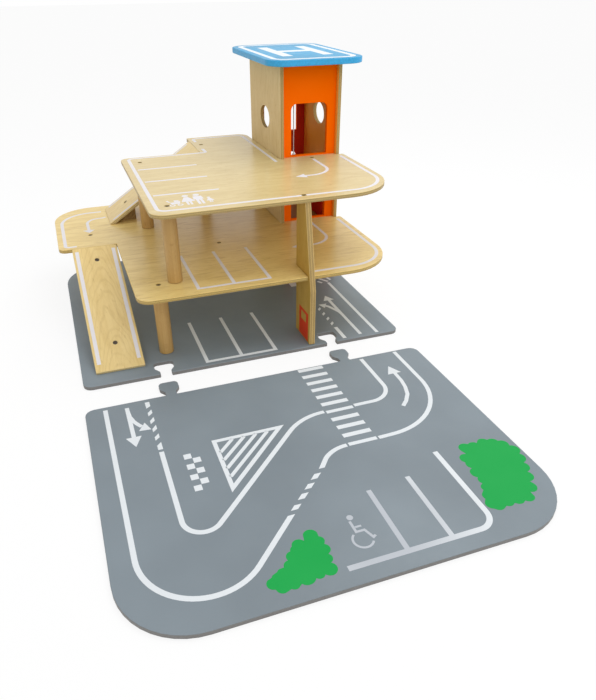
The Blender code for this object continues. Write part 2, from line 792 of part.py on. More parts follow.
def drill_world(piece, name, profile, mouths):
    """Cut turned holes that are given in the garage's own frame."""
    place = Matrix.LocRotScale(piece.location, piece.rotation_euler, None)
    inverse = place.inverted()
    local = [inverse @ mouth for mouth in mouths]
    cut(piece, turned_mesh(name, profile, SCREW_SIDES, local))


def add_along_x(name, outline, start, length, material, parent):
    """Add a sheet whose outline is given as (y, z) and which runs along +X."""
    mesh = prism_mesh(name, outline, length)
    return add_piece(name, mesh, material, parent, (start, 0, 0), UPRIGHT_ALONG_Y)


def add_along_y(name, outline, end, length, material, parent):
    """Add a sheet whose outline is given as (x, z) and which runs towards -Y from its end."""
    mesh = prism_mesh(name, outline, length)
    return add_piece(name, mesh, material, parent, (0, end, 0), UPRIGHT_ALONG_X)


def make_lower_ramp(material, parent):
    """Straight ramp from the rear board to the lower deck."""
    outline, slope, drop = lower_ramp_shape()
    ramp = add_along_x(
        "lower_ramp", outline, LOWER_RAMP_LEFT, LOWER_RAMP_WIDTH, material, parent
    )
    soften(ramp)
    profile = sunk_hole_profile(2 * PLY)
    drill_world(ramp, "lower_ramp_holes", profile, lower_ramp_mouths())
    return ramp


def make_upper_ramp(material, parent):
    """Straight ramp from the lower deck to the upper deck's bridge."""
    outline, slope, drop = upper_ramp_shape()
    ramp = add_along_y(
        "upper_ramp", outline, UPPER_RAMP_BACK, UPPER_RAMP_WIDTH, material, parent
    )
    soften(ramp)
    profile = sunk_hole_profile(2 * PLY)
    drill_world(ramp, "upper_ramp_holes", profile, upper_ramp_mouths())
    return ramp


def make_ramp_supports(material, parent):
    """Cleats under the ramps' top ends and blocks under their feet."""
    outline, slope, drop = lower_ramp_shape()
    deck_under = LOWER_DECK_TOP - PLY - FIT
    ramp_under = lower_ramp_height(STEP_LINE) - drop - FIT
    front = STEP_LINE - LOWER_RAMP_TOP_SCREW - RAMP_CLEAT_REACH
    back = STEP_LINE + RAMP_CLEAT_REACH
    low = lower_ramp_height(front) - drop - FIT - CLEAT_HEIGHT
    section = [
        Vector((front, low)),
        Vector((back, low)),
        Vector((back, deck_under)),
        Vector((STEP_LINE, deck_under)),
        Vector((STEP_LINE, ramp_under)),
        Vector((front, low + CLEAT_HEIGHT)),
    ]
    start = LOWER_RAMP_CENTRE - RAMP_CLEAT_LENGTH / 2
    cleat = add_along_x(
        "lower_ramp_cleat", section, start, RAMP_CLEAT_LENGTH, material, parent
    )
    depth = SHORT_SCREW_LENGTH + SCREW_SINK + PILOT_EXTRA_DEPTH
    drill_world(cleat, "lower_cleat_hole", pilot_profile(depth), lower_ramp_mouths()[:1])

    middle = LOWER_RAMP_TOE_Y + LOWER_RAMP_FOOT_SCREW
    front = middle - FOOT_BLOCK_LENGTH / 2
    back = middle + FOOT_BLOCK_LENGTH / 2
    section = [
        Vector((front, BOARD_TOP + FIT)),
        Vector((back, BOARD_TOP + FIT)),
        Vector((back, lower_ramp_height(back) - drop - FIT)),
        Vector((front, lower_ramp_height(front) - drop - FIT)),
    ]
    start = LOWER_RAMP_CENTRE - FOOT_BLOCK_WIDTH / 2
    block = add_along_x(
        "lower_ramp_foot_block", section, start, FOOT_BLOCK_WIDTH, material, parent
    )
    drill_world(block, "lower_block_hole", pilot_profile(depth), lower_ramp_mouths()[1:])

    outline, slope, drop = upper_ramp_shape()
    deck_under = UPPER_DECK_TOP - PLY - FIT
    left = BRIDGE_LEFT - RAMP_CLEAT_REACH
    right = BRIDGE_LEFT + RAMP_CLEAT_REACH
    low = upper_ramp_height(left) - drop - FIT - CLEAT_HEIGHT
    section = [
        Vector((left, low)),
        Vector((right, low)),
        Vector((right, deck_under)),
        Vector((BRIDGE_LEFT, deck_under)),
        Vector((BRIDGE_LEFT, upper_ramp_height(BRIDGE_LEFT) - drop - FIT)),
        Vector((left, low + CLEAT_HEIGHT)),
    ]
    post_front = UPPER_POSTS["upper_post_rear"][1] - POST_DIAMETER / 2
    end = post_front - SLIDE_GAP
    length = min(UPPER_RAMP_CLEAT_LENGTH, end - UPPER_MAIN_BACK - RAMP_CLEAT_SIDE_GAP)
    add_along_y("upper_ramp_cleat", section, end, length, material, parent)

    middle = UPPER_RAMP_TOE_X + UPPER_RAMP_FOOT_SCREW
    left = middle - FOOT_BLOCK_LENGTH / 2
    right = middle + FOOT_BLOCK_LENGTH / 2
    section = [
        Vector((left, LOWER_DECK_TOP + FIT)),
        Vector((right, LOWER_DECK_TOP + FIT)),
        Vector((right, upper_ramp_height(right) - drop - FIT)),
        Vector((left, upper_ramp_height(left) - drop - FIT)),
    ]
    end = UPPER_RAMP_CENTRE + FOOT_BLOCK_WIDTH / 2
    block = add_along_y(
        "upper_ramp_foot_block", section, end, FOOT_BLOCK_WIDTH, material, parent
    )
    drill_world(block, "upper_block_hole", pilot_profile(depth), upper_ramp_mouths())


def make_tower_walls(material, parent):
    """Side walls of the tower, each with an oval window above the upper deck."""
    outline = [
        Vector((TOWER_FRONT, BOARD_TOP + FIT)),
        Vector((TOWER_BACK, BOARD_TOP + FIT)),
        Vector((TOWER_BACK, TOWER_TOP)),
        Vector((TOWER_FRONT, TOWER_TOP)),
    ]
    window_z = UPPER_DECK_TOP + WINDOW_CENTRE_HEIGHT
    oval = ellipse(TOWER_CENTRE_Y, window_z, WINDOW_LENGTH, WINDOW_HEIGHT)
    places = {"tower_left_wall": TOWER_LEFT, "tower_right_wall": TOWER_RIGHT - PLY}
    for name, x in places.items():
        wall = add_along_x(name, outline, x, PLY, material, parent)
        soften(wall)
        cut(wall, prism_mesh(name + "_window", oval, 3 * PLY, -PLY))


def door_outline(floor, sill):
    """Return the outline of a doorway above a floor, as (x, z)."""
    left = TOWER_CENTRE_X - DOOR_WIDTH / 2
    right = TOWER_CENTRE_X + DOOR_WIDTH / 2
    return rounded_outline(
        [
            (left, floor + sill, DOOR_FOOT_RADIUS),
            (right, floor + sill, DOOR_FOOT_RADIUS),
            (right, floor + DOOR_TOP, DOOR_RADIUS),
            (left, floor + DOOR_TOP, DOOR_RADIUS),
        ]
    )


def make_tower_panels(front_material, parent):
    """Orange front and back panels with a doorway at each floor."""
    left = TOWER_LEFT + PLY + FIT
    right = TOWER_RIGHT - PLY - FIT
    outline = [
        Vector((left, BOARD_TOP + FIT)),
        Vector((right, BOARD_TOP + FIT)),
        Vector((right, TOWER_TOP - FIT)),
        Vector((left, TOWER_TOP - FIT)),
    ]
    panels = {
        "tower_front_panel": (PANEL_FRONT + PLY, DOOR_SILL),
        "tower_back_panel": (PANEL_BACK, BACK_DOOR_SILL),
    }
    for name, (end, sill) in panels.items():
        panel = add_along_y(name, outline, end, PLY, front_material, parent)
        for level, floor in enumerate(FLOOR_HEIGHTS):
            doorway = door_outline(floor, sill)
            cut(panel, prism_mesh(f"{name}_door_{level}", doorway, 3 * PLY, -PLY))
    shaft_hole = SHAFT_DIAMETER / 2 + FIT
    profile = [(0, PLY), (shaft_hole, PLY), (shaft_hole, -2 * PLY), (0, -2 * PLY)]
    turn = Matrix.Rotation(-math.pi / 2, 4, "X")
    mouth = Matrix.Translation((SHAFT_X, PANEL_BACK, SHAFT_Z)) @ turn
    back_panel = bpy.data.objects["tower_back_panel"]
    place = Matrix.LocRotScale(back_panel.location, back_panel.rotation_euler, None)
    cutter = turned_mesh("shaft_hole", profile, SMALL_ROUND_SIDES, [place.inverted() @ mouth])
    cut(back_panel, cutter)


def make_deck_cleats(material, parent):
    """Battens between the tower walls that carry the decks' rear edges."""
    left = TOWER_LEFT + PLY + FIT
    right = TOWER_RIGHT - PLY - FIT
    for name, floor in (
        ("lower_deck_cleat", LOWER_DECK_TOP),
        ("upper_deck_cleat", UPPER_DECK_TOP),
    ):
        top = floor - PLY - FIT
        section = [
            Vector((CLEAT_BACK - CLEAT_DEPTH, top - CLEAT_HEIGHT)),
            Vector((CLEAT_BACK, top - CLEAT_HEIGHT)),
            Vector((CLEAT_BACK, top)),
            Vector((CLEAT_BACK - CLEAT_DEPTH, top)),
        ]
        cleat = add_along_x(name, section, left, right - left, material, parent)
        if name == "upper_deck_cleat":
            depth = CLEAT_HEIGHT + SCREW_SINK
            mouth = upright(TOWER_CENTRE_X, DECK_CLEAT_SCREW_Y, top)
            drill_world(cleat, "upper_cleat_hole", pilot_profile(depth), [mouth])


def make_deck_batten(material, parent):
    """Stiffening strip of ply under the middle of the lower deck, with a hole for its screw."""
    top = LOWER_DECK_TOP - PLY - FIT
    size = (BATTEN_LENGTH, BATTEN_WIDTH, PLY)
    place = (*BATTEN_PLACE, top - PLY / 2)
    name = "lower_deck_batten"
    batten = add_piece(name, box_mesh(name, size), material, parent, place)
    hole = pilot_profile(PLY + SCREW_SINK)
    drill_world(batten, "batten_hole", hole, [upright(*BATTEN_PLACE, top)])


def make_roof(roof_material, wood, parent):
    """Blue roof plate on the tower, located by two battens inside the walls."""
    left = TOWER_LEFT - ROOF_SIDE_OVERHANG
    right = TOWER_RIGHT + ROOF_SIDE_OVERHANG
    front = TOWER_FRONT - ROOF_FRONT_OVERHANG
    back = TOWER_BACK + ROOF_BACK_OVERHANG
    outline = rounded_outline(
        [
            (left, front, ROOF_RADIUS),
            (right, front, ROOF_RADIUS),
            (right, back, ROOF_RADIUS),
            (left, back, ROOF_RADIUS),
        ]
    )
    mesh = prism_mesh("roof", outline, THICK_PLY, TOWER_TOP + FIT)
    roof = add_piece("roof", mesh, roof_material, parent)
    soften(roof, 1.5 * EDGE_ROUNDING)
    length = TOWER_DEPTH - 2 * ROOF_CLEAT_END_GAP
    middle_z = TOWER_TOP - ROOF_CLEAT_SIZE / 2
    offset = TOWER_WIDTH / 2 - PLY - FIT - ROOF_CLEAT_SIZE / 2
    for name, side in (("roof_cleat_left", -1), ("roof_cleat_right", 1)):
        size = (ROOF_CLEAT_SIZE, length, ROOF_CLEAT_SIZE)
        place = (TOWER_CENTRE_X + side * offset, TOWER_CENTRE_Y, middle_z)
        add_piece(name, box_mesh(name, size), wood, parent, place)


def make_cage(wood, orange, parent):
    """Lift cage: floor, two sides and a crossbar. The parent's origin is on the cord's line."""
    depth = CAGE_FLOOR_BACK - CAGE_FLOOR_FRONT
    floor_mesh = box_mesh(
        "lift_floor",
        (CAGE_FLOOR_WIDTH, depth, PLY),
        (0, 0, -PLY / 2),
    )
    floor = add_piece("lift_floor", floor_mesh, wood, parent)
    soften(floor)
    side_half = depth / 2 - CAGE_SIDE_INSET
    outline = rounded_outline(
        [
            (-side_half, FIT, 0),
            (side_half, FIT, 0),
            (side_half, FIT + CAGE_SIDE_HEIGHT, CAGE_SIDE_RADIUS),
            (-side_half, FIT + CAGE_SIDE_HEIGHT, CAGE_SIDE_RADIUS),
        ]
    )
    starts = {
        "lift_left_side": -CAGE_SIDE_INNER - PLY,
        "lift_right_side": CAGE_SIDE_INNER,
    }
    for name, start in starts.items():
        side = add_along_x(name, outline, start, PLY, orange, parent)
        soften(side)
    bar_size = (2 * (CAGE_SIDE_INNER + PLY), CAGE_BAR_DEPTH, THICK_PLY)
    bar_place = (0, 0, CAGE_BAR_BOTTOM - CAGE_FLOOR_TOP + THICK_PLY / 2)
    bar = add_piece("lift_crossbar", box_mesh("lift_crossbar", bar_size), wood, parent, bar_place)
    soften(bar)


def make_bead(material, parent):
    """Bead that stops the cord on the crossbar."""
    mesh = bpy.data.meshes.new("cord_bead")
    shape = bmesh.new()
    bmesh.ops.create_uvsphere(
        shape, u_segments=BEAD_SEGMENTS, v_segments=BEAD_RINGS, radius=BEAD_DIAMETER / 2
    )
    shape.to_mesh(mesh)
    shape.free()
    mesh.shade_smooth()
    place = (0, 0, BEAD_CENTRE_Z - CAGE_FLOOR_TOP)
    return add_piece("cord_bead", mesh, material, parent, place)


def make_cord(material, parent):
    """Straight stretch of the lift cord, from the bead to the winding shaft."""
    start = BEAD_CENTRE_Z + BEAD_DIAMETER / 2 + FIT
    radius = CORD_DIAMETER / 2
    profile = [(0, 0), (radius, 0), (radius, CORD_TOP - start), (0, CORD_TOP - start)]
    mesh = turned_mesh("lift_cord", profile, SCREW_SIDES)
    return add_piece(
        "lift_cord", mesh, material, parent, (TOWER_CENTRE_X, TOWER_CENTRE_Y, start)
    )


def make_winding(material, parent):
    """Turns of the cord on the shaft, as one tube. The parent's origin is on the shaft's axis."""
    points = [Vector((WINDING_RADIUS, 0, -CORD_DIAMETER))]
    count = WINDING_TURNS * WINDING_POINTS
    for index in range(count + 1):
        angle = 2 * math.pi * index / WINDING_POINTS
        x = WINDING_RADIUS * math.cos(angle)
        z = WINDING_RADIUS * math.sin(angle)
        y = WINDING_PITCH * index / WINDING_POINTS
        points.append(Vector((x, y, z)))
    curve = bpy.data.curves.new("cord_winding", "CURVE")
    curve.dimensions = "3D"
    curve.bevel_depth = CORD_DIAMETER / 2
    curve.bevel_resolution = 1
    curve.use_fill_caps = True
    spline = curve.splines.new("POLY")
    spline.points.add(len(points) - 1)
    for target, point in zip(spline.points, points):
        target.co = (*point, 1.0)
    winding = bpy.data.objects.new("cord_winding", curve)
    winding.parent = parent
    curve.materials.append(material)
    bpy.context.scene.collection.objects.link(winding)
    gap = least_gap(points)
    print(f"cord_winding least gap to itself: {gap * 1000:.2f} mm")
    return winding


def least_gap(points):
    """Return the smallest clear distance between turns of the winding."""
    least = math.inf
    for index, point in enumerate(points):
        for other in points[index + WINDING_POINTS // 2:]:
            least = min(least, (point - other).length)
    return least - CORD_DIAMETER


def make_crank(wood, orange, parent):
    """Winding shaft with a crank wheel and its knob. The parent's origin is on the axis."""
    along_y = (-math.pi / 2, 0, 0)
    start = SHAFT_START - TOWER_CENTRE_Y
    end = SHAFT_END - TOWER_CENTRE_Y
    radius = SHAFT_DIAMETER / 2
    chamfer = POST_CHAMFER
    profile = [
        (0, 0),
        (radius - chamfer, 0),
        (radius, chamfer),
        (radius, end - start - chamfer),
        (radius - chamfer, end - start),
        (0, end - start),
    ]
    mesh = turned_mesh("winding_shaft", profile, SMALL_ROUND_SIDES)
    add_piece("winding_shaft", mesh, wood, parent, (0, start, 0), along_y)

    wheel_front = CRANK_WHEEL_FRONT - TOWER_CENTRE_Y
    wheel = CRANK_WHEEL_DIAMETER / 2
    socket = SHAFT_DIAMETER / 2 + FIT
    profile = [
        (0, CRANK_SOCKET_DEPTH),
        (socket, CRANK_SOCKET_DEPTH),
        (socket, 0),
        (wheel - EDGE_ROUNDING, 0),
        (wheel, EDGE_ROUNDING),
        (wheel, THICK_PLY - EDGE_ROUNDING),
        (wheel - EDGE_ROUNDING, THICK_PLY),
        (0, THICK_PLY),
    ]
    mesh = turned_mesh("crank_wheel", profile, POST_SIDES)
    crank_wheel = add_piece(
        "crank_wheel", mesh, orange, parent, (0, wheel_front, 0), along_y
    )
    stem_hole = KNOB_STEM_DIAMETER / 2 + FIT
    hole = [(0, -PLY), (stem_hole, -PLY), (stem_hole, 2 * PLY), (0, 2 * PLY)]
    placement = Matrix.Translation((0, CRANK_KNOB_RADIUS, 0))
    cut(crank_wheel, turned_mesh("knob_hole", hole, SCREW_SIDES, [placement]))

    stem = KNOB_STEM_DIAMETER / 2
    knob = KNOB_DIAMETER / 2
    profile = [
        (0, EDGE_ROUNDING),
        (stem, EDGE_ROUNDING),
        (stem, THICK_PLY + FIT),
        (knob - POST_CHAMFER, THICK_PLY + FIT),
        (knob, THICK_PLY + FIT + POST_CHAMFER),
        (knob, THICK_PLY + KNOB_LENGTH - 2 * POST_CHAMFER),
        (knob - 2 * POST_CHAMFER, THICK_PLY + KNOB_LENGTH),
        (0, THICK_PLY + KNOB_LENGTH),
    ]
    mesh = turned_mesh("crank_knob", profile, SMALL_ROUND_SIDES)
    place = (0, wheel_front, -CRANK_KNOB_RADIUS)
    add_piece("crank_knob", mesh, wood, parent, place, along_y)


def make_bearing_block(material, parent):
    """Block behind the front panel that carries the shaft's front end."""
    size = (BEARING_BLOCK_SIZE, BEARING_BLOCK_DEPTH, BEARING_BLOCK_SIZE)
    middle_y = PANEL_FRONT + PLY + FIT + BEARING_BLOCK_DEPTH / 2
    place = (SHAFT_X, middle_y, SHAFT_Z)
    block = add_piece(
        "shaft_bearing_block", box_mesh("shaft_bearing_block", size), material, parent, place
    )
    hole = SHAFT_DIAMETER / 2 + FIT
    half = BEARING_BLOCK_DEPTH
    profile = [(0, -half), (hole, -half), (hole, half), (0, half)]
    turn = Matrix.Rotation(math.pi / 2, 4, "X")
    cut(block, turned_mesh("bearing_bore", profile, SMALL_ROUND_SIDES, [turn]))


def main():
    """Build the garage."""
    clear_scene()
    deck_wood = make_material("varnished_birch_ply", BIRCH, 0.35)
    wall_wood = make_material("birch_wall_ply", BIRCH_WALL, 0.45)
    post_wood = make_material("beech_dowel", BEECH, 0.45)
    grey = make_material("grey_paint", GREY_PAINT, 0.5)
    orange = make_material("orange_paint", ORANGE_PAINT, 0.4)
    blue = make_material("blue_paint", BLUE_PAINT, 0.35)
    cord_white = make_material("white_cord", WHITE_CORD, 0.7)
    bead_white = make_material("white_bead", WHITE_CORD, 0.4)
    steel = make_material("dark_screw_steel", DARK_STEEL, 0.4, 1.0)

    x_low = LEFT_EDGE - FRONT_BOARD_OFFSET
    x_high = TOWER_RIGHT + ROOF_SIDE_OVERHANG
    y_low = -BOARD_GAP - FRONT_BOARD_DEPTH
    y_high = DECK_BACK
    garage = add_empty("garage", (-(x_low + x_high) / 2, -(y_low + y_high) / 2, 0))

    make_rear_board(grey, garage)
    make_front_board(grey, garage)
    make_lower_deck(deck_wood, garage)
    make_upper_deck(deck_wood, garage)
    for name, place in LOWER_POSTS.items():
        make_post(name, place, BOARD_TOP, post_wood, garage)
    for name, place in UPPER_POSTS.items():
        make_post(name, place, LOWER_DECK_TOP, post_wood, garage)
    make_pylon(wall_wood, garage)
    make_lower_ramp(deck_wood, garage)
    make_upper_ramp(deck_wood, garage)
    make_ramp_supports(post_wood, garage)
    make_tower_walls(wall_wood, garage)
    make_tower_panels(orange, garage)
    make_deck_cleats(post_wood, garage)
    make_deck_batten(post_wood, garage)
    make_roof(blue, post_wood, garage)

    cage = add_empty("lift_cage", (TOWER_CENTRE_X, TOWER_CENTRE_Y, CAGE_FLOOR_TOP), garage)
    make_cage(wall_wood, orange, cage)
    make_bead(bead_white, cage)
    make_cord(cord_white, garage)

    crank = add_empty("crank_axis", (SHAFT_X, TOWER_CENTRE_Y, SHAFT_Z), garage)
    make_crank(post_wood, orange, crank)
    make_winding(cord_white, crank)
    make_bearing_block(post_wood, garage)

    length = POST_SCREW_LENGTH
    add_screws("board_screw", board_screw_mouths(), length, steel, garage)
    add_screws("lower_deck_screw", lower_deck_top_mouths()[:-1], length, steel, garage)
    add_screws("upper_post_screw", lower_deck_under_mouths(), length, steel, garage)
    add_screws("upper_deck_screw", upper_deck_mouths()[:-1], length, steel, garage)
    mouths = lower_deck_top_mouths()[-1:]
    add_screws("batten_screw", mouths, BATTEN_SCREW_LENGTH, steel, garage)
    length = SHORT_SCREW_LENGTH
    add_screws("deck_cleat_screw", upper_deck_mouths()[-1:], length, steel, garage)
    add_screws("lower_ramp_screw", lower_ramp_mouths(), length, steel, garage)
    add_screws("upper_ramp_screw", upper_ramp_mouths(), length, steel, garage)


main()
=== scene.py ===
"""Looks of the wooden toy parking garage: varnished and painted plywood, printed markings, studio."""
import math

import bmesh
import bpy
from mathutils import Matrix, Vector
from mathutils.geometry import intersect_line_line_2d


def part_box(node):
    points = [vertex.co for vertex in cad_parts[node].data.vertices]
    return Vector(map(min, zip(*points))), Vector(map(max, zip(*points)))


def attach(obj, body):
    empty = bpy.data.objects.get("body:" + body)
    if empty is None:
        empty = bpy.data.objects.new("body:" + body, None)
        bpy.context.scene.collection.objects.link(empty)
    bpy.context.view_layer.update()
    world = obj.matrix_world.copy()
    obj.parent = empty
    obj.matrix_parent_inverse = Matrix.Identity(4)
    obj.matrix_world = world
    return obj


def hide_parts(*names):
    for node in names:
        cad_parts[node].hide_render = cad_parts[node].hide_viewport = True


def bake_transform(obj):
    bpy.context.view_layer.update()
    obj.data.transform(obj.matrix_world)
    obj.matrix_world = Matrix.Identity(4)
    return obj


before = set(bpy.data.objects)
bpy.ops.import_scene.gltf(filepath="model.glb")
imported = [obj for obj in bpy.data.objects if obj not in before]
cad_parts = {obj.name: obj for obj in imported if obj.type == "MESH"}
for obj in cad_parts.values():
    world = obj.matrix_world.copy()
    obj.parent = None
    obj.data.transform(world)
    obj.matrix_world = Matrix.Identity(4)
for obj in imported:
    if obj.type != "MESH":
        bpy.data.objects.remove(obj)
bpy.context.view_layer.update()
MM = 0.001
UP = (0, 0, 1)
RIGHT = (1, 0, 0)
LEFT = (-1, 0, 0)
BACK = (0, 1, 0)
FRONT = (0, -1, 0)

# Places and levels, read from the CAD parts
REAR_LOW, REAR_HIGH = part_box("rear_board")
ORIGIN_X = (REAR_LOW[0] + REAR_HIGH[0]) / 2
ORIGIN_Y = REAR_LOW[1]
BOARD_TOP = REAR_HIGH[2]
LOWER_DECK_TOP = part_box("lower_deck")[1][2]
UPPER_DECK_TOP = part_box("upper_deck")[1][2]
ROOF_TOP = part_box("roof")[1][2]
PLY = BOARD_TOP - REAR_LOW[2]

# Ramps: node, way up, height of the top face at the toe, and its level at the top
RAMPS = (
    ("lower_ramp", BACK, 0.0037, LOWER_DECK_TOP),
    ("upper_ramp", RIGHT, 0.0015, UPPER_DECK_TOP),
)

# Camera, placed as the photograph's
CAMERA_PLACE = (-0.22485, -0.78336, 0.50180)
CAMERA_TURN = (56.786, 0.236, -19.663)
CAMERA_LENS = 32.09
CAMERA_SHIFT = (0.0180, 0.0387)

# Printed markings and screws
INK_HEIGHT = 0.00010
INK_SINK = 0.00003
INK_STEP = 0.00002
ARC_STEP = math.radians(5)
LOBE_RAYS = 240
LOBE_REACH = 200.0
ARROW_WIDTH = 5.5
SCREW_TURN = math.radians(37)

# Colours, linear
BIRCH = (0.68, 0.54, 0.255)
# Painted shade: the lower deck's birch, warmer and more saturated than BIRCH, for the shade under the upper
# deck
BIRCH_LOWER_SHADED = (0.80, 0.61, 0.235)
BIRCH_RAMP = (0.78, 0.60, 0.265)
BIRCH_WALL = (0.71, 0.545, 0.28)
RAMP_EDGE = (0.95, 0.83, 0.52)
# Painted shade and orange bounce light on the wood inside the lift shaft
SHAFT_SHADE_WOOD = (0.90, 0.40, 0.015)
# Painted shade: the lift's floor ply, darkened because it stands in the shaft's shade
LIFT_FLOOR_SHADE_WOOD = (0.42, 0.21, 0.05)
PYLON_WOOD = (0.53, 0.34, 0.075)
BEECH = (0.50, 0.315, 0.11)
PLY_END_GRAIN = (0.16, 0.09, 0.025)
GREY_PAINT = (0.215, 0.258, 0.290)
GREY_EDGE = (0.175, 0.172, 0.168)
ORANGE_PAINT = (0.98, 0.145, 0.0)
# Painted shade: the orange paint inside the lift shaft, darkened to crimson
SHAFT_SHADE_PAINT = (0.52, 0.016, 0.014)
BLUE_PAINT = (0.022, 0.31, 0.56)
BLUE_EDGE = (0.045, 0.37, 0.70)
WHITE_INK = (0.76, 0.80, 0.83)
DECK_INK = (0.76, 0.74, 0.77)
# Painted glare: the grey that white bay lines turn to under a reflection
GLARE_GREY = (0.42, 0.45, 0.50)
GREEN_INK = (0.003, 0.375, 0.066)
RED_INK = (0.70, 0.05, 0.008)
DARK_STEEL = (0.075, 0.06, 0.045)
WHITE_CORD = (0.86, 0.87, 0.88)
FLOOR_WHITE = (0.97, 0.97, 0.97)

# Pieces around the lift shaft: the way that their inner faces point, where the shaft's shade and its orange
# bounce light are painted into the colour
SHAFT_SHADE_SIDES = {
    "tower_right_wall": LEFT,
    "tower_left_wall": RIGHT,
    "tower_back_panel": FRONT,
    "lift_right_side": LEFT,
    "lift_left_side": RIGHT,
}

# Studio
AMBIENT = 0.70
SUN_STRENGTH = 0.78
SUN_ANGLE = math.radians(50)
SUN_TURN = (math.radians(62), 0.0, 0.0)
SOFTBOX_PLACE = (0.55, 0.10, 1.45)
SOFTBOX_AIM = (0.0, -0.1, 0.1)
SOFTBOX_SIZE = 1.1
SOFTBOX_POWER = 9.0
FLOOR_GLOW = 0.84


class Graph:
    """A Principled material and short calls for its nodes."""

    def __init__(self, name):
        self.material = bpy.data.materials.new(name)
        self.material.use_nodes = True
        self.nodes = self.material.node_tree.nodes
        self.links = self.material.node_tree.links
        self.shader = self.nodes["Principled BSDF"]
        self.place = self.nodes.new("ShaderNodeTexCoord").outputs["Object"]
        self.facing = self.nodes.new("ShaderNodeTexCoord").outputs["Normal"]

    def set(self, socket, value):
        """Link a socket, or set its value."""
        if isinstance(value, bpy.types.NodeSocket):
            self.links.new(value, socket)
        elif socket.type == "RGBA" and len(value) == 3:
            socket.default_value = (*value, 1.0)
        else:
            socket.default_value = value

    def node(self, kind, inputs, **settings):
        """Return a new node with its settings and its inputs."""
        node = self.nodes.new(kind)
        for name, value in settings.items():
            setattr(node, name, value)
        for socket, value in inputs.items():
            self.set(node.inputs[socket], value)
        return node

    def math(self, operation, first, second=0.0):
        """Return a math node's result."""
        return self.node("ShaderNodeMath", {0: first, 1: second}, operation=operation).outputs[0]

    def plus(self, value, other, factor):
        """Return a value plus another that is scaled."""
        return self.math("ADD", value, self.math("MULTIPLY", other, factor))

    def dot(self, vector, direction):
        """Return a vector's component along a direction."""
        node = self.node("ShaderNodeVectorMath", {0: vector, 1: direction}, operation="DOT_PRODUCT")
        return node.outputs["Value"]

    def distance(self, vector, point):
        """Return the distance from a vector to a fixed point."""
        node = self.node("ShaderNodeVectorMath", {0: vector, 1: point}, operation="DISTANCE")
        return node.outputs["Value"]

    def combine(self, x, y, z):
        """Return a vector made of three values."""
        return self.node("ShaderNodeCombineXYZ", {0: x, 1: y, 2: z}).outputs[0]

    def stretch(self, along, along_scale, across, across_scale, depth):
        """Return the place for a noise that is scaled along and across the grain."""
        x = self.math("MULTIPLY", along, along_scale)
        y = self.math("MULTIPLY", across, across_scale)
        return self.combine(x, y, depth)

    def noise(self, vector, scale=1.0, detail=3.0, roughness=0.5, distortion=0.0):
        """Return a noise value."""
        return self.node("ShaderNodeTexNoise", {
            "Vector": vector, "Scale": scale, "Detail": detail,
            "Roughness": roughness, "Distortion": distortion,
        }).outputs["Fac"]

    def spread(self, value, low, high, new_low=0.0, new_high=1.0):
        """Return a value moved from one range to another, and held inside it."""
        return self.node("ShaderNodeMapRange", {
            "Value": value, "From Min": low, "From Max": high,
            "To Min": new_low, "To Max": new_high,
        }).outputs[0]

    def mix(self, amount, first, second):
        """Return two colours mixed."""
        return self.node("ShaderNodeMix", {0: amount, 6: first, 7: second}, data_type="RGBA").outputs[2]

    def cover(self, base, over, value, low, high, share=1.0):
        """Return a colour with a share of another laid over it where a value is high."""
        return self.mix(self.spread(value, low, high, 0.0, share), base, over)

    def steps(self, value, stops):
        """Return a grey that changes in steps, each from a (place, grey) stop on."""
        node = self.node("ShaderNodeValToRGB", {0: value})
        node.color_ramp.interpolation = "CONSTANT"
        elements = node.color_ramp.elements
        while len(elements) < len(stops):
            elements.new(1.0)
        for element, (place, grey) in zip(elements, stops):
            element.position = place
            element.color = (grey, grey, grey, 1.0)
        return node.outputs[0]

    def bump(self, height, distance, strength):
        """Give the surface a relief."""
        inputs = {"Strength": strength, "Distance": distance, "Height": height}
        self.set(self.shader.inputs["Normal"], self.node("ShaderNodeBump", inputs).outputs[0])

    def finish(self, colour, roughness, specular=0.5, coat=0.0, coat_roughness=0.2, metallic=0.0):
        """Set the shader and return the material."""
        sockets = self.shader.inputs
        self.set(sockets["Base Color"], colour)
        self.set(sockets["Roughness"], roughness)
        sockets["Specular IOR Level"].default_value = specular
        sockets["Coat Weight"].default_value = coat
        sockets["Coat Roughness"].default_value = coat_roughness
        sockets["Metallic"].default_value = metallic
        return self.material


def tinted(colour, factors):
    """Return a colour with each part scaled, and held at white."""
    return tuple(min(1.0, part * factor) for part, factor in zip(colour, factors))


def scaled(colour, factor):
    """Return a colour made lighter or darker, and held at white."""
    return tinted(colour, (factor, factor, factor))


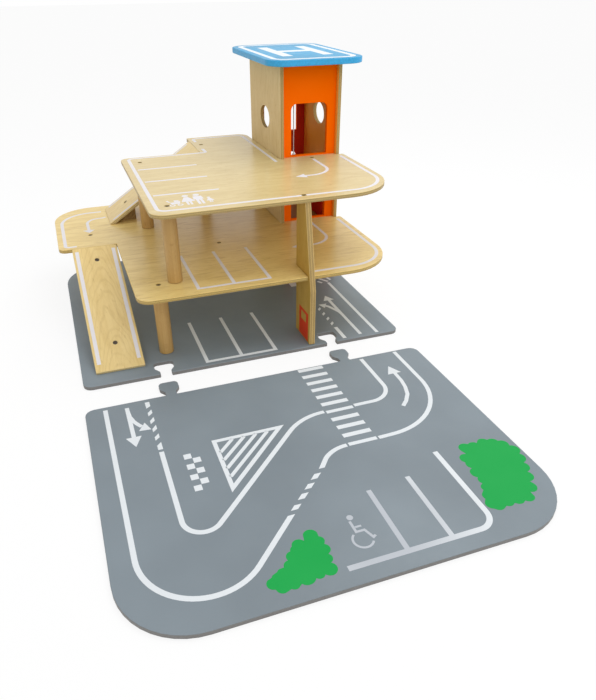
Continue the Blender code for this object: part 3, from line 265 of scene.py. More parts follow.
def wood_grain(graph, along, across, depth, colour, seed, arched=False, veined=0.10):
    """Return a wood's face colour and its relief, from distances along and across the grain."""
    shifted = graph.math("ADD", across, seed)
    flow = graph.noise(graph.stretch(along, 9.0, shifted, 20.0, seed), detail=2.0, distortion=0.8)
    bent = graph.plus(shifted, flow, 0.022)
    curl_place = graph.stretch(along, 22.0, bent, 75.0, depth)
    curl = graph.noise(curl_place, detail=4.0, roughness=0.65, distortion=0.5)
    fibre = graph.noise(graph.stretch(along, 28.0, bent, 800.0, depth), roughness=0.6)
    flecks = graph.noise(graph.stretch(along, 85.0, bent, 420.0, depth), detail=2.0)
    veins = graph.noise(graph.stretch(along, 22.0, bent, 250.0, seed), distortion=0.6)
    cloud = graph.noise(graph.stretch(along, 5.0, shifted, 11.0, seed), distortion=1.2)
    deeper = tinted(colour, (0.89, 0.84, 0.74))
    paler = tinted(colour, (1.05, 1.06, 1.09))
    dark = tinted(colour, (0.62, 0.50, 0.38))
    face = graph.cover(paler, deeper, curl, 0.36, 0.68, 0.75)
    face = graph.cover(face, deeper, fibre, 0.40, 0.80, 0.40)
    face = graph.cover(face, deeper, cloud, 0.45, 0.75, 0.40)
    face = graph.cover(face, dark, flecks, 0.62, 0.76, 0.48)
    face = graph.cover(face, dark, veins, 0.54, 0.66, veined)
    if arched:
        rise = graph.math("MULTIPLY", graph.math("MULTIPLY", across, across), 24000.0)
        phase = graph.plus(graph.plus(rise, along, 230.0), flow, 34.0)
        rings = graph.spread(graph.math("SINE", phase), 0.35, 1.0)
        strength = graph.spread(cloud, 0.35, 0.60, 0.06, 0.20)
        face = graph.mix(graph.math("MULTIPLY", rings, strength), face, dark)
    relief = graph.plus(graph.math("MULTIPLY", fibre, 0.6), flecks, -0.4)
    return face, relief


def paint_shade_on_side(graph, shown, side, colour):
    """Lay most of a colour over the faces that point to one side: painted shade and bounce light inside the
    lift shaft.
    """
    return graph.cover(shown, colour, graph.dot(graph.facing, side), 0.45, 0.80, 0.85)


def ply_edge(graph, along, across, height, level, thickness, colour, seed):
    """Return the colour of a sawn ply edge: plies and glue lines by the depth below the face."""
    depth = graph.math("DIVIDE", graph.math("SUBTRACT", level, height), thickness)
    wander = graph.noise(graph.combine(along, across, seed), scale=30.0, detail=2.0)
    depth = graph.math("ADD", depth, graph.spread(wander, 0.3, 0.7, -0.012, 0.012))
    plies = [(0.0, 0.15), (0.17, 1.0), (0.23, 0.50), (0.38, 1.0), (0.43, 0.10)]
    plies += [(0.58, 1.0), (0.63, 0.50), (0.78, 1.0), (0.85, 0.30)]
    darkness = graph.math("MULTIPLY", graph.steps(depth, plies), 0.85)
    layers = graph.math("MULTIPLY", height, 2500.0)
    speckle = graph.noise(graph.stretch(along, 900.0, across, 900.0, layers), detail=2.0)
    edge = graph.mix(darkness, tinted(colour, (0.93, 0.87, 0.70)), PLY_END_GRAIN)
    return graph.cover(edge, PLY_END_GRAIN, speckle, 0.45, 0.75, 0.35)


def plywood(
    name, normal, level, grain, colour,
    roughness=0.34, specular=0.28, coat=0.15, thickness=PLY, seed=0.0,
    arched_at=None, inner=None, shade_side=None, veined=0.10,
):
    """Varnished plywood: edges of plies, and a face veneer that is arched about a point if wanted, with
    painted shade on the side towards the lift shaft if wanted.
    """
    graph = Graph(name)
    normal = Vector(normal).normalized()
    grain = Vector(grain).normalized()
    side = normal.cross(grain)
    along = graph.dot(graph.place, grain)
    across = graph.dot(graph.place, side)
    arched = arched_at is not None
    if arched:
        across = graph.math("SUBTRACT", across, arched_at.dot(side))
    height = graph.dot(graph.place, normal)
    face, relief = wood_grain(graph, along, across, height, colour, seed, arched, veined)
    edge = ply_edge(graph, along, across, height, level, thickness, inner or colour, seed)
    tilt = graph.math("ABSOLUTE", graph.dot(graph.facing, normal))
    is_face = graph.spread(tilt, 0.45, 0.80)
    shown = graph.mix(is_face, edge, face)
    # painted shade and orange bounce light on the faces towards the lift shaft
    if shade_side:
        shown = paint_shade_on_side(graph, shown, shade_side, SHAFT_SHADE_WOOD)
    sheen = graph.spread(relief, -0.2, 0.6, roughness + 0.07, roughness - 0.04)
    rough = graph.mix(is_face, (0.60, 0.60, 0.60), sheen)
    graph.bump(relief, 0.00006, 0.55)
    return graph.finish(shown, rough, specular=specular, coat=coat, coat_roughness=0.22)


def solid_wood(name, grain, colour, roughness=0.42, seed=0.0):
    """Varnished solid wood, with end grain where the surface faces along the grain."""
    graph = Graph(name)
    grain = Vector(grain).normalized()
    side = grain.orthogonal().normalized()
    other = grain.cross(side)
    along = graph.dot(graph.place, grain)
    first = graph.dot(graph.place, side)
    second = graph.dot(graph.place, other)
    across = graph.plus(first, second, 0.8)
    face, relief = wood_grain(graph, along, across, second, colour, seed)
    inwards = graph.math("MULTIPLY", second, 330.0)
    streaks = graph.noise(graph.stretch(along, 7.0, first, 330.0, inwards), roughness=0.6)
    face = graph.cover(face, tinted(colour, (0.72, 0.62, 0.48)), streaks, 0.40, 0.70, 0.45)
    first = graph.math("ADD", first, 0.04)
    second = graph.math("ADD", second, 0.03)
    rings = graph.noise(graph.stretch(first, 60.0, second, 240.0, 0.0), detail=4.0, distortion=0.8)
    end = graph.cover(scaled(colour, 0.72), PLY_END_GRAIN, rings, 0.35, 0.65)
    is_end = graph.spread(graph.math("ABSOLUTE", graph.dot(graph.facing, grain)), 0.6, 0.9)
    graph.bump(relief, 0.00008, 0.5)
    shown = graph.mix(is_end, face, end)
    return graph.finish(shown, roughness, specular=0.35, coat=0.10, coat_roughness=0.25)


def paint(name, colour, roughness=0.40, specular=0.35, grain=RIGHT, seed=0.0, edge=None, shade_side=None):
    """Sprayed paint on plywood: an even film with faint flow, rubbed marks and a hint of grain, with painted
    shade on the side towards the lift shaft if wanted.
    """
    graph = Graph(name)
    grain = Vector(grain).normalized()
    side = grain.orthogonal().normalized()
    along = graph.dot(graph.place, grain)
    across = graph.dot(graph.place, side)
    depth = graph.dot(graph.place, grain.cross(side))
    film = graph.noise(graph.place, scale=420.0, detail=2.0)
    drift = graph.noise(graph.place, scale=5.0 + seed)
    fibre = graph.noise(graph.stretch(along, 20.0, across, 520.0, depth), detail=2.0)
    rubbed = graph.noise(graph.place, scale=38.0, detail=5.0, roughness=0.7, distortion=1.5)
    lighter = tuple(min(1.0, c * 1.06 + 0.004) for c in colour)
    shown = graph.cover(scaled(colour, 0.90), lighter, drift, 0.35, 0.65)
    shown = graph.cover(shown, lighter, rubbed, 0.62, 0.78, 0.16)
    # side faces take their own edge colour, darker grey on the boards and brighter blue on the roof
    if edge:
        side_face_colour = graph.cover(edge, tinted(edge, (0.88, 0.86, 0.84)), film, 0.35, 0.65)
        level = graph.math("ABSOLUTE", graph.dot(graph.facing, UP))
        shown = graph.cover(side_face_colour, shown, level, 0.25, 0.75)
    # painted shade: crimson on the side towards the lift shaft
    if shade_side:
        shown = paint_shade_on_side(graph, shown, shade_side, SHAFT_SHADE_PAINT)
    rough = graph.spread(rubbed, 0.35, 0.75, roughness - 0.05, roughness + 0.09)
    relief = graph.plus(graph.math("MULTIPLY", film, 0.5), fibre, 0.5)
    graph.bump(relief, 0.00005, 0.35)
    return graph.finish(shown, rough, specular=specular)


def ink(name, colour, seed=0.0, glare_centre=None, glare_reach=0.0):
    """Screen-printed ink: an even colour with slight thin spots, and one area of painted glare that greys the
    ink, if wanted.
    """
    graph = Graph(name)
    thin = graph.noise(graph.place, scale=230.0, detail=4.0, roughness=0.65)
    wide = graph.noise(graph.place, scale=14.0 + seed, detail=2.0)
    worn = scaled(colour, 0.90)
    shown = graph.cover(colour, worn, thin, 0.55, 0.80, 0.40)
    shown = graph.cover(shown, worn, wide, 0.40, 0.70, 0.25)
    # painted glare: the ink greys towards a soft spot
    if glare_centre:
        away = graph.distance(graph.place, glare_centre)
        glare_share = graph.spread(away, glare_reach * 0.35, glare_reach, 0.75, 0.0)
        shown = graph.mix(glare_share, shown, GLARE_GREY)
    graph.bump(thin, 0.00003, 0.4)
    return graph.finish(shown, graph.spread(wide, 0.3, 0.7, 0.45, 0.56), specular=0.2)


def braid(name, colour, axis):
    """Braided cord: crossing helical strands."""
    graph = Graph(name)
    along = graph.dot(graph.place, axis)
    wave = graph.math("SINE", graph.math("MULTIPLY", along, 4200.0))
    fuzz = graph.noise(graph.place, scale=2400.0)
    shade = tinted(colour, (0.86, 0.86, 0.88))
    shown = graph.mix(graph.spread(wave, -1.0, 0.4, 0.5, 0.0), colour, shade)
    shown = graph.cover(shown, shade, fuzz, 0.4, 0.7, 0.4)
    graph.bump(graph.math("ADD", wave, fuzz), 0.00004, 0.4)
    return graph.finish(shown, 0.8, specular=0.2)


def gloss(name, colour, roughness):
    """Glossy lacquer on a small turned piece."""
    graph = Graph(name)
    mottle = graph.noise(graph.place, scale=300.0)
    graph.bump(mottle, 0.00003, 0.3)
    shown = graph.cover(colour, scaled(colour, 0.9), mottle, 0.4, 0.7)
    return graph.finish(shown, roughness, coat=0.4, coat_roughness=0.1)


def steel(name, colour):
    """Dark burnished screw steel with turning marks."""
    graph = Graph(name)
    marks = graph.noise(graph.place, scale=1800.0, detail=4.0)
    shown = graph.cover(colour, scaled(colour, 2.6), marks, 0.45, 0.75)
    graph.bump(marks, 0.00003, 0.5)
    return graph.finish(shown, graph.spread(marks, 0.3, 0.7, 0.32, 0.5), metallic=0.85)


def dress(node, material):
    """Give a CAD node a material."""
    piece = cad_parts[node]
    if not piece.data.materials:
        piece.data.materials.append(material)
    for slot in piece.material_slots:
        slot.material = material


def on_circle(centre, radius, angle):
    """Return the point of a circle at an angle."""
    return centre[0] + radius * math.cos(angle), centre[1] + radius * math.sin(angle)


def arc(centre, radius, start, end):
    """Return points along an arc, from one angle in degrees to another."""
    first = math.radians(start)
    sweep = math.radians(end) - first
    steps = max(2, math.ceil(abs(sweep) / ARC_STEP))
    return [on_circle(centre, radius, first + sweep * step / steps) for step in range(steps + 1)]


def rounded(corners):
    """Return a path whose corners (x, y, radius) are rounded. An open path's ends have radius 0."""
    points = []
    for index, (x, y, radius) in enumerate(corners):
        here = Vector((x, y))
        if radius == 0:
            points.append(here)
            continue
        before = Vector(corners[index - 1][:2])
        after = Vector(corners[(index + 1) % len(corners)][:2])
        way_in = (before - here).normalized()
        way_out = (after - here).normalized()
        half = way_in.angle(way_out) / 2
        middle = here + (way_in + way_out).normalized() * (radius / math.sin(half))
        start = here + way_in * (radius / math.tan(half)) - middle
        turn = 1 if way_in.x * way_out.y - way_in.y * way_out.x < 0 else -1
        sweep = turn * (math.pi - 2 * half)
        steps = max(2, math.ceil(abs(sweep) / ARC_STEP))
        for step in range(steps + 1):
            points.append(middle + Matrix.Rotation(sweep * step / steps, 2) @ start)
    return points


def add_object(name, data):
    """Return a new object that is in the scene."""
    made = bpy.data.objects.new(name, data)
    bpy.context.scene.collection.objects.link(made)
    return made


def add_ring(shape, centre, radius, height, sides):
    """Add a level ring of points, or one point where the radius is zero, and return them."""
    count = sides if radius else 1
    spots = [on_circle(centre, radius, 2 * math.pi * index / count) for index in range(count)]
    return [shape.verts.new((x, y, height)) for x, y in spots]


def bridge(shape, first, second):
    """Add the faces between two rings of points, or between a ring and one point."""
    count = max(len(first), len(second))
    for index in range(count):
        after = (index + 1) % count
        corners = [first[index % len(first)], first[after % len(first)]]
        corners += [second[after % len(second)], second[index % len(second)]]
        shape.faces.new(list(dict.fromkeys(corners)))


def as_mesh(shape, name):
    """Turn a closed shape into a mesh."""
    bmesh.ops.recalc_face_normals(shape, faces=shape.faces)
    mesh = bpy.data.meshes.new(name)
    shape.to_mesh(mesh)
    shape.free()
    return mesh


class Print:
    """Shapes printed on one flat surface, in millimetres, gathered into one thin piece."""

    def __init__(self):
        self.shape = bmesh.new()

    def raise_face(self, points):
        """Add one closed flat shape."""
        base = [self.shape.verts.new((p[0] * MM, p[1] * MM, -INK_SINK)) for p in points]
        face = self.shape.faces.new(base)
        grown = bmesh.ops.extrude_face_region(self.shape, geom=[face])
        top = [item for item in grown["geom"] if isinstance(item, bmesh.types.BMVert)]
        bmesh.ops.translate(self.shape, verts=top, vec=(0, 0, INK_SINK + INK_HEIGHT))

    def line(self, points, width, closed=False, level_end=False):
        """Add a line of even width along a path, as one band. A level end is cut along x."""
        path = [Vector(p[:2]) for p in points]
        count = len(path)
        sides = []
        for index, here in enumerate(path):
            at_end = not closed and index == count - 1
            ways = []
            if index or closed:
                ways.append((here - path[index - 1]).normalized())
            if not at_end:
                ways.append((path[(index + 1) % count] - here).normalized())
            way = sum(ways, Vector((0, 0))).normalized()
            normal = Vector((-way.y, way.x))
            stretch = 1 / max(0.3, normal.dot(Vector((-ways[0].y, ways[0].x))))
            offset = normal * (width / 2 * stretch)
            if level_end and at_end:
                offset = Vector((width / 2 / normal.x, 0))
            sides.append((here + offset, here - offset))
        rings = []
        for left, right in sides:
            corners = ((left, -INK_SINK), (right, -INK_SINK), (right, INK_HEIGHT), (left, INK_HEIGHT))
            rings.append([self.shape.verts.new((p.x * MM, p.y * MM, height)) for p, height in corners])
        pairs = list(zip(rings, rings[1:]))
        if closed:
            pairs.append((rings[-1], rings[0]))
        else:
            self.shape.faces.new(rings[0])
            self.shape.faces.new(rings[-1])
        for first, second in pairs:
            bridge(self.shape, first, second)

    def disc(self, centre, radius):
        """Add a disc."""
        self.raise_face(arc(centre, radius, 0, 360)[:-1])

    def arrow(self, path, width, head_width, head_length):
        """Add an arrow whose head follows the end of its path."""
        self.line(path, width)
        tail = Vector(path[-2][:2])
        end = Vector(path[-1][:2])
        way = (end - tail).normalized()
        side = Vector((-way.y, way.x)) * (head_width / 2)
        self.raise_face([end + side, end - side, end + way * head_length])

    def lobes(self, centre, discs):
        """Add a scalloped outline: each ray from a centre reaches its farthest disc, or their ring."""
        middle = Vector(centre)
        points = []
        for step in range(LOBE_RAYS):
            angle = 2 * math.pi * step / LOBE_RAYS
            way = Vector((math.cos(angle), math.sin(angle)))
            reach = 0.0
            for index, (x, y, radius) in enumerate(discs):
                here = Vector((x, y))
                before = Vector(discs[index - 1][:2])
                crossing = intersect_line_line_2d(middle, middle + way * LOBE_REACH, before, here)
                if crossing:
                    reach = max(reach, (crossing - middle).length)
                along = (here - middle).dot(way)
                rest = radius * radius - ((here - middle).length_squared - along * along)
                if rest > 0:
                    reach = max(reach, along + math.sqrt(rest))
            points.append(middle + way * reach)
        self.raise_face(points)

    def put(self, name, placement, material, body, slot):
        """Turn the shapes into a piece on its surface."""
        piece = add_object(name, as_mesh(self.shape, name))
        piece.matrix_world = placement
        piece.data.materials.append(material)
        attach(piece, body)

    def put_front(self, name, material, lift=0.0):
        """Put the shapes on the front board."""
        self.put(name, level_place(BOARD_TOP + lift), material, "front_board", "front_board_paint")

    def put_rear(self, name, material, lift=0.0):
        """Put the shapes on the rear board."""
        self.put(name, level_place(BOARD_TOP + lift), material, "garage", "grey_painted_ply")

    def put_deck(self, name, level):
        """Put the shapes on a deck."""
        self.put(name, level_place(level), DECK_PRINT, "garage", "deck_ply")


def level_place(height):
    """Return the placement of prints on a level surface, drawn in the garage's plan."""
    return Matrix.Translation((ORIGIN_X, ORIGIN_Y, height))


def front_board_road():
    """White edge lines and crossing of the front board."""
    width = 6
    road = Print()
    road.line([(-227, -64)] + arc((-159, -334.5), 68, 180, 315) + [(-57.6, -329)], width, level_end=True)
    diagonal, half = 271, 4.25
    for top, bottom in ((-316.5, -323), (-302.5, -310), (-290, -297), (-276.7, -284.4)):
        ends = [(top + diagonal - half, top), (top + diagonal + half, top)]
        ends += [(bottom + diagonal + half, bottom), (bottom + diagonal - half, bottom)]
        road.raise_face(ends)
    road.line(arc((48, -289.3), 48.3, 90, 135) + [(2.2, -270)], width, level_end=True)
    road.line([(92, -241)] + arc((110, -141), 99.5, -90, 0) + [(209.5, -60)], width)
    inner = [(-171.3, -175.3)] + arc((-149, -298.3), 22.6, 180, 315) + arc((48, -247.2), 80.2, 135, 90)
    road.line(inner, width)
    road.line([(92, -167)] + arc((120.5, -135), 32, -90, 0) + [(152.5, -62)], width)
    road.put_front("front_road_lines", WHITE_PRINT)

    crossing = Print()
    pitch, left, right = 17.82, 50.6, 89.4
    for number in range(11):
        y = -62.3 - pitch * number
        crossing.line([(left, y), (right, y)], 6 if number in (6, 10) else 7.4)
    crossing.put_front("crossing_bars", WHITE_PRINT)


def front_board_dashes():
    """Slanted dashes between the two lanes, each given by its ends at the right and at the left."""
    left, right = -174.3, -168.3
    dashes = Print()
    for right_top, right_bottom, left_top, left_bottom in (
        (-64, -74.7, -64, -78.5),
        (-83, -91.4, -89.4, -97),
        (-100.6, -109.4, -108, -115),
        (-118.6, -127.5, -126, -133),
        (-137.8, -146, -144, -151),
        (-156, -170.6, -162, -170.6),
    ):
        dashes.raise_face([(left, left_top), (right, right_top), (right, right_bottom), (left, left_bottom)])
    dashes.put_front("lane_dashes", WHITE_PRINT)


def lane_arrow(name, path, head, lift=0.0, put=Print.put_front):
    """Lane arrow on a road board, from the path of its shaft and the corners of its head."""
    arrow = Print()
    arrow.line(path, ARROW_WIDTH)
    arrow.raise_face(head)
    put(arrow, name, WHITE_PRINT, lift)


def front_board_arrows():
    """Lane arrows of the front board."""
    head = [(-208.9, -135), (-199, -155.3), (-189.4, -135)]
    lane_arrow("front_straight_arrow", [(-199, -68.5), (-199, -135)], head)
    path = [(-199, -76), (-198, -90), (-194.5, -102), (-189.5, -111.5), (-186.2, -116)]
    head = [(-181.5, -109), (-191, -124.5), (-175.5, -126)]
    lane_arrow("front_branch_arrow", path, head, INK_STEP)
    path = [(154, -191), (163.6, -181.7), (173.3, -167.8), (179, -151), (181.7, -134.4), (182, -114.4)]
    head = [(171, -114.4), (191.7, -114.4), (181.7, -94.2)]
    lane_arrow("front_turn_arrow", path, head)


def front_board_island():
    """Hatched traffic island beside the inner lane."""
    island = Print()
    left, right, top, bottom = -108.6, -12.0, -175.3, -273.3
    band, stripe = 5.5, 4.7
    half = band / 2
    sharp = half * (1 + math.sqrt(2))
    corners = [(left + half, top - half), (right - sharp, top - half), (left + half, bottom + sharp)]
    island.line(corners, band, closed=True)
    for start in (-201, -216.5, -232, -247.5):
        reach = top - band - start
        island.line([(left + band, start), (left + band + reach, start + reach)], stripe)
    island.put_front("traffic_island", WHITE_PRINT)


def front_board_bays():
    """Parking bays of the front board."""
    right, bottom, radius = 143.7, -416.1, 20
    bays = Print()
    bays.line(rounded([(-30, bottom, 0), (right, bottom, radius), (right, -289.4, 0)]), 6.6)
    for x, top in ((37.5, -322.8), (90, -317.2)):
        bays.line([(x, top), (x, bottom + 3.3)], 6.0)
    bays.put_front("front_bay_lines", BAY_PRINT)


def rank_checks():
    """Checkered strip that marks the waiting place."""
    checks = Print()
    left, bottom, size, gap, rows = -148.0, -258.0, 9.7, 0.25, 7
    for row in range(rows):
        x = left + row % 2 * size + gap
        y = bottom + row * size + gap
        far_x = x + size - 2 * gap
        far_y = y + size - 2 * gap
        checks.raise_face([(x, y), (far_x, y), (far_x, far_y), (x, far_y)])
    checks.put_front("waiting_place_checks", WHITE_PRINT)


def wheelchair_sign():
    """Plain pictogram of a wheelchair user."""
    sign = Print()
    sign.disc((0, -354), 3.7)
    sign.line([(-2.5, -359), (-2, -375), (7.5, -375), (12.2, -387.2), (15.5, -385.3)], 3.0)
    sign.line([(-0.5, -368.5), (6.7, -368.5)], 2.6)
    sign.line(arc((0.5, -386.5), 11, 128, 330), 2.6)
    sign.put_front("wheelchair_sign", BAY_PRINT)


def bushes():
    """Green bushes printed beside the road, as rings of round lobes (x, y, radius)."""
    pointed = (
        (-49, -363, 8), (-44, -373, 6.5), (-43, -385, 7), (-45, -397, 6.5), (-47, -410, 8), (-59, -412, 6),
        (-72, -412, 9), (-86, -415, 6.5), (-98, -415, 7), (-105, -408, 7), (-99, -403, 6), (-92, -399, 6),
        (-82, -393, 7), (-76, -383, 7), (-70, -376, 6), (-65, -371, 7.5),
    )
    full = (
        (210, -295, 8), (221, -299, 8), (230, -306, 8), (236, -319, 8.5), (233, -334, 8.5), (227, -349, 8.5),
        (221, -364, 8.5), (213, -380, 8.5), (201, -392, 8), (188, -392, 7.5), (175, -391, 7.5),
        (162, -392, 8), (157, -388, 8), (161, -376, 7.5), (167, -364, 7), (171, -352, 7), (171, -339, 8.5),
        (174, -324, 8), (173, -313, 8), (183, -296, 8.5), (195, -297, 8),
    )
    for name, centre, discs in (("pointed_bush", (-60, -396), pointed), ("full_bush", (199, -343), full)):
        bush = Print()
        bush.lobes(centre, discs)
        bush.put_front(name, GREEN_PRINT)


def rear_board_lines():
    """White road markings of the rear board."""
    road = Print()
    left, middle, right, near, far = -68, -14, 40.5, 10.5, 142
    width = 5.5
    road.line([(left, far), (left, near), (right, near), (right, far)], width)
    road.line([(middle, far), (middle, near + width / 2)], width)
    road.line([(213.6, 5.8), (213.6, 209.4)], width)
    lane, half, rise = 156.4, 3.05, 6.4
    road.line([(lane, 5.8), (lane, 44)], 2 * half)
    left, right = lane - half, lane + half
    for y in (58, 76, 94.7, 113.6):
        road.raise_face([(left, y - rise), (right, y), (right, y + rise), (left, y)])
    road.put_rear("rear_road_lines", WHITE_PRINT)

    hatch = Print()
    for stripe in (
        ((196.4, 221.1), (201.9, 211.9)),
        ((203.2, 232.2), (214.9, 214.3)),
        ((219.2, 231.7), (222.6, 220.2)),
    ):
        hatch.line(stripe, 4.5)
    hatch.raise_face([(142, 234), (155, 229), (152.5, 215.4), (141.8, 215.6)])
    hatch.put_rear("rear_hatching", WHITE_PRINT)


def rear_board_arrows():
    """Lane arrows of the rear board."""
    head = [(175.3, 140), (194.7, 140), (185.5, 158.9)]
    lane_arrow("rear_straight_arrow", [(185.5, 9.4), (185.5, 140)], head, put=Print.put_rear)
    path = [(185.5, 80), (184.5, 92), (180.3, 104), (174.7, 117.8), (171.3, 121.7)]
    head = [(166.9, 114.4), (175.6, 128.9), (161, 129.5)]
    lane_arrow("rear_branch_arrow", path, head, INK_STEP, Print.put_rear)


def lower_deck_lines():
    """White markings of the lower deck."""
    deck = Print()
    deck.line([(-68, 160), (-68, 30), (40, 30), (40, 160)], 5)
    deck.line([(-14.5, 160), (-14.5, 32.5)], 5)
    deck.line(rounded([(110, 30, 0), (239, 30, 62), (239, 236, 0)]), 5.5)
    deck.line(rounded([(-221, 259, 0), (-238.5, 259, 6), (-238.5, 427, 52), (-165, 427, 0)]), 5.5)
    deck.put_deck("lower_deck_lines", LOWER_DECK_TOP)
    arrows = Print()
    arrows.arrow([(-160, 393)] + arc((-171, 366), 24, 80, 180) + [(-195, 332)], 5, 20, 14)
    arrows.arrow([(186.5, 236), (186.5, 190)] + arc((148.5, 171), 38, 0, -90) + [(128, 133)], 5, 20, 16)
    arrows.put_deck("lower_deck_arrows", LOWER_DECK_TOP)


def upper_deck_lines():
    """White markings of the upper deck."""
    deck = Print()
    front, left, right, width = 46.5, -110.5, 239, 5.5
    screw_x = (screw_axis("upper_deck_screw_4")[0].x - ORIGIN_X) / MM
    screw_hole = 3.8
    border = [(26, 368, 0), (26, 340, 5), (left, 340, 9), (left, front, 12), (screw_x - screw_hole, front, 0)]
    deck.line(rounded(border), width)
    deck.line(rounded([(screw_x + screw_hole, front, 0), (right, front, 60), (right, 236, 0)]), width)
    deck.line(rounded([(26, 424, 0), (26, 450, 8), (122, 450, 14), (122, 236, 0)]), 5)
    for y in (265, 192, 119):
        deck.line([(-105, y), (-8, y)], 5)
    deck.put_deck("upper_deck_lines", UPPER_DECK_TOP)
    arrow = Print()
    arrow.arrow([(187, 232), (187, 183)] + arc((149, 178), 38, 0, -90) + [(138, 140)], 5, 20, 17)
    arrow.put_deck("upper_deck_arrow", UPPER_DECK_TOP)


def figure(sign, x, y, height, skirt):
    """Add a plain standing figure whose feet are at a point: a head, and one outline for the rest."""
    head = 0.10 * height
    neck = height - 2.35 * head
    sign.disc((x, y + height - head), head)
    if skirt:
        right = [(0.07, 1.0), (0.22, 0.42), (0.09, 0.42), (0.09, 0.0), (0.02, 0.0), (0.02, 0.40)]
    else:
        right = [(0.13, 1.0), (0.16, 0.60), (0.10, 0.62), (0.10, 0.0), (0.02, 0.0), (0.02, 0.50)]
    outline = [(x + across * height, y + up * neck) for across, up in right]
    outline += [(x - across * height, y + up * neck) for across, up in reversed(right)]
    sign.raise_face(outline)


def family_sign():
    """Plain pictogram of two adults, a child and a pushchair."""
    sign = Print()
    figure(sign, -62.5, 62, 45, True)
    figure(sign, -46.5, 60.5, 47, False)
    figure(sign, -32, 63, 25, True)
    for x in (-87, -76):
        sign.line(arc((x, 66), 3.2, 0, 360)[:-1], 2.0, closed=True)
    sign.raise_face([(-87, 71), (-76, 71), (-73.5, 79), (-88.5, 79)])
    sign.raise_face([(-82, 80.2), (-73, 80.2), (-76, 86.5), (-82, 87.5)])
    sign.line([(-88.7, 80.2), (-91.5, 88.5)], 2.4)
    sign.put_deck("family_sign", UPPER_DECK_TOP)


def ramp_place(node, towards, toe_height, top_level):
    """Return a placement on a ramp's top, with x up its middle from the toe, and its length."""
    low, high = (Vector(corner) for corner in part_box(node))
    run = Vector(towards)
    across = Vector(UP).cross(run)
    centre = (low + high) / 2
    half_run = (high - low).dot(run) / 2
    toe = centre - run * half_run
    toe.z = low.z + toe_height
    top = centre + run * half_run
    top.z = top_level
    along = (top - toe).normalized()
    normal = along.cross(across)
    axes = Matrix((along, across, normal)).transposed().to_4x4()
    return Matrix.Translation(toe) @ axes, (top - toe).length / MM


def ramp_lines():
    """White side lines of both ramps."""
    top_margin, width = 7.0, 5.7
    for ramp, toe_margin, offset in zip(RAMPS, (13.0, 8.0), (29.2, 37.5)):
        placement, length = ramp_place(*ramp)
        lines = Print()
        for y in (-offset, offset):
            lines.line([(toe_margin, y), (length - top_margin, y)], width)
        lines.put(ramp[0] + "_lines", placement, DECK_PRINT, "garage", "ramp_ply")


def pump_sign():
    """Plain pictogram of a fuel pump on the pylon's left face, in distances from front and up."""
    low = Vector(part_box("pylon")[0])
    axes = Matrix(((0, -1, 0), (0, 0, 1), (-1, 0, 0))).transposed().to_4x4()
    placement = Matrix.Translation((low.x, ORIGIN_Y, 0)) @ axes
    rear, front, bottom, top = -50.0, -12.0, 8.0, 56.0
    window_rear, window_front, window_top, sill = rear + 8.0, front - 9.0, top - 5.0, top - 19.0
    outline = [(rear, bottom), (front, bottom), (front, top), (rear, top), (rear, sill)]
    outline += [(window_rear, sill), (window_rear, window_top), (window_front, window_top)]
    outline += [(window_front, sill), (rear, sill)]
    sign = Print()
    sign.raise_face(outline)
    sign.put("fuel_pump_sign", placement, RED_PRINT, "garage", "wall_ply")


def roof_marks():
    """White outline and landing mark on the roof."""
    low, high = (Vector(corner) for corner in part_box("roof"))
    placement = Matrix.Translation(((low.x + high.x) / 2, (low.y + high.y) / 2, ROOF_TOP))
    inset, width, radius = 14.5, 9.0, 18.0
    x = (high.x - low.x) / 2 / MM - inset
    y = (high.y - low.y) / 2 / MM - inset
    border = rounded([(-x, -y, radius), (x, -y, radius), (x, y, radius), (-x, y, radius)])
    mark = Print()
    mark.line(border, width, closed=True)
    outer, inner, post_y, half_bar = 44.0, 26.0, 68.0, 11.0
    outline = [(outer, post_y), (inner, post_y), (inner, half_bar)]
    outline += [(-x, y) for x, y in reversed(outline)]
    outline += [(-x, -y) for x, y in outline]
    mark.raise_face(outline)
    mark.put("landing_mark", placement, WHITE_PRINT, "garage", "blue_painted_ply")


def screw_blank(name, length):
    """Return a countersunk screw without its recess. Its head's top is at the origin."""
    head, shank, head_height, tip, sides = 0.0035, 0.00175, 0.0022, 0.003, 32
    profile = [(0.0, 0.0), (head - 0.0002, 0.0), (head, -0.00015), (shank, -head_height)]
    profile += [(shank, -length + tip), (0.0, -length)]
    shape = bmesh.new()
    rings = [add_ring(shape, (0.0, 0.0), radius, height, sides) for radius, height in profile]
    for upper, lower in zip(rings, rings[1:]):
        bridge(shape, upper, lower)
    return add_object(name + "_blank", as_mesh(shape, name))


def screw_cross(name):
    """Return a tapered cross that cuts the recess of a screw's head."""
    arm, half_width, top, depth, taper = 0.0021, 0.00042, 0.001, 0.0012, 0.55
    outline = []
    for quarter in range(4):
        turn = Matrix.Rotation(math.radians(90 * quarter), 2)
        for point in ((arm, -half_width), (arm, half_width), (half_width, half_width)):
            outline.append(turn @ Vector(point))
    shape = bmesh.new()
    upper = [shape.verts.new((p.x, p.y, top)) for p in outline]
    lower = [shape.verts.new((p.x * taper, p.y * taper, -depth)) for p in outline]
    shape.faces.new(upper)
    shape.faces.new(lower)
    bridge(shape, upper, lower)
    return add_object(name + "_cross", as_mesh(shape, name + "_cross"))


def screw_mesh(name, length):
    """Return a screw whose head has a cross recess."""
    body = screw_blank(name, length)
    cross = screw_cross(name)
    cut = body.modifiers.new("recess", "BOOLEAN")
    cut.operation = "DIFFERENCE"
    cut.solver = "EXACT"
    cut.object = cross
    bpy.context.view_layer.update()
    seen = body.evaluated_get(bpy.context.evaluated_depsgraph_get())
    mesh = bpy.data.meshes.new_from_object(seen)
    mesh.name = name
    bpy.data.objects.remove(body, do_unlink=True)
    bpy.data.objects.remove(cross, do_unlink=True)
    mesh.shade_smooth()
    mesh.set_sharp_from_angle(angle=math.radians(30))
    return mesh


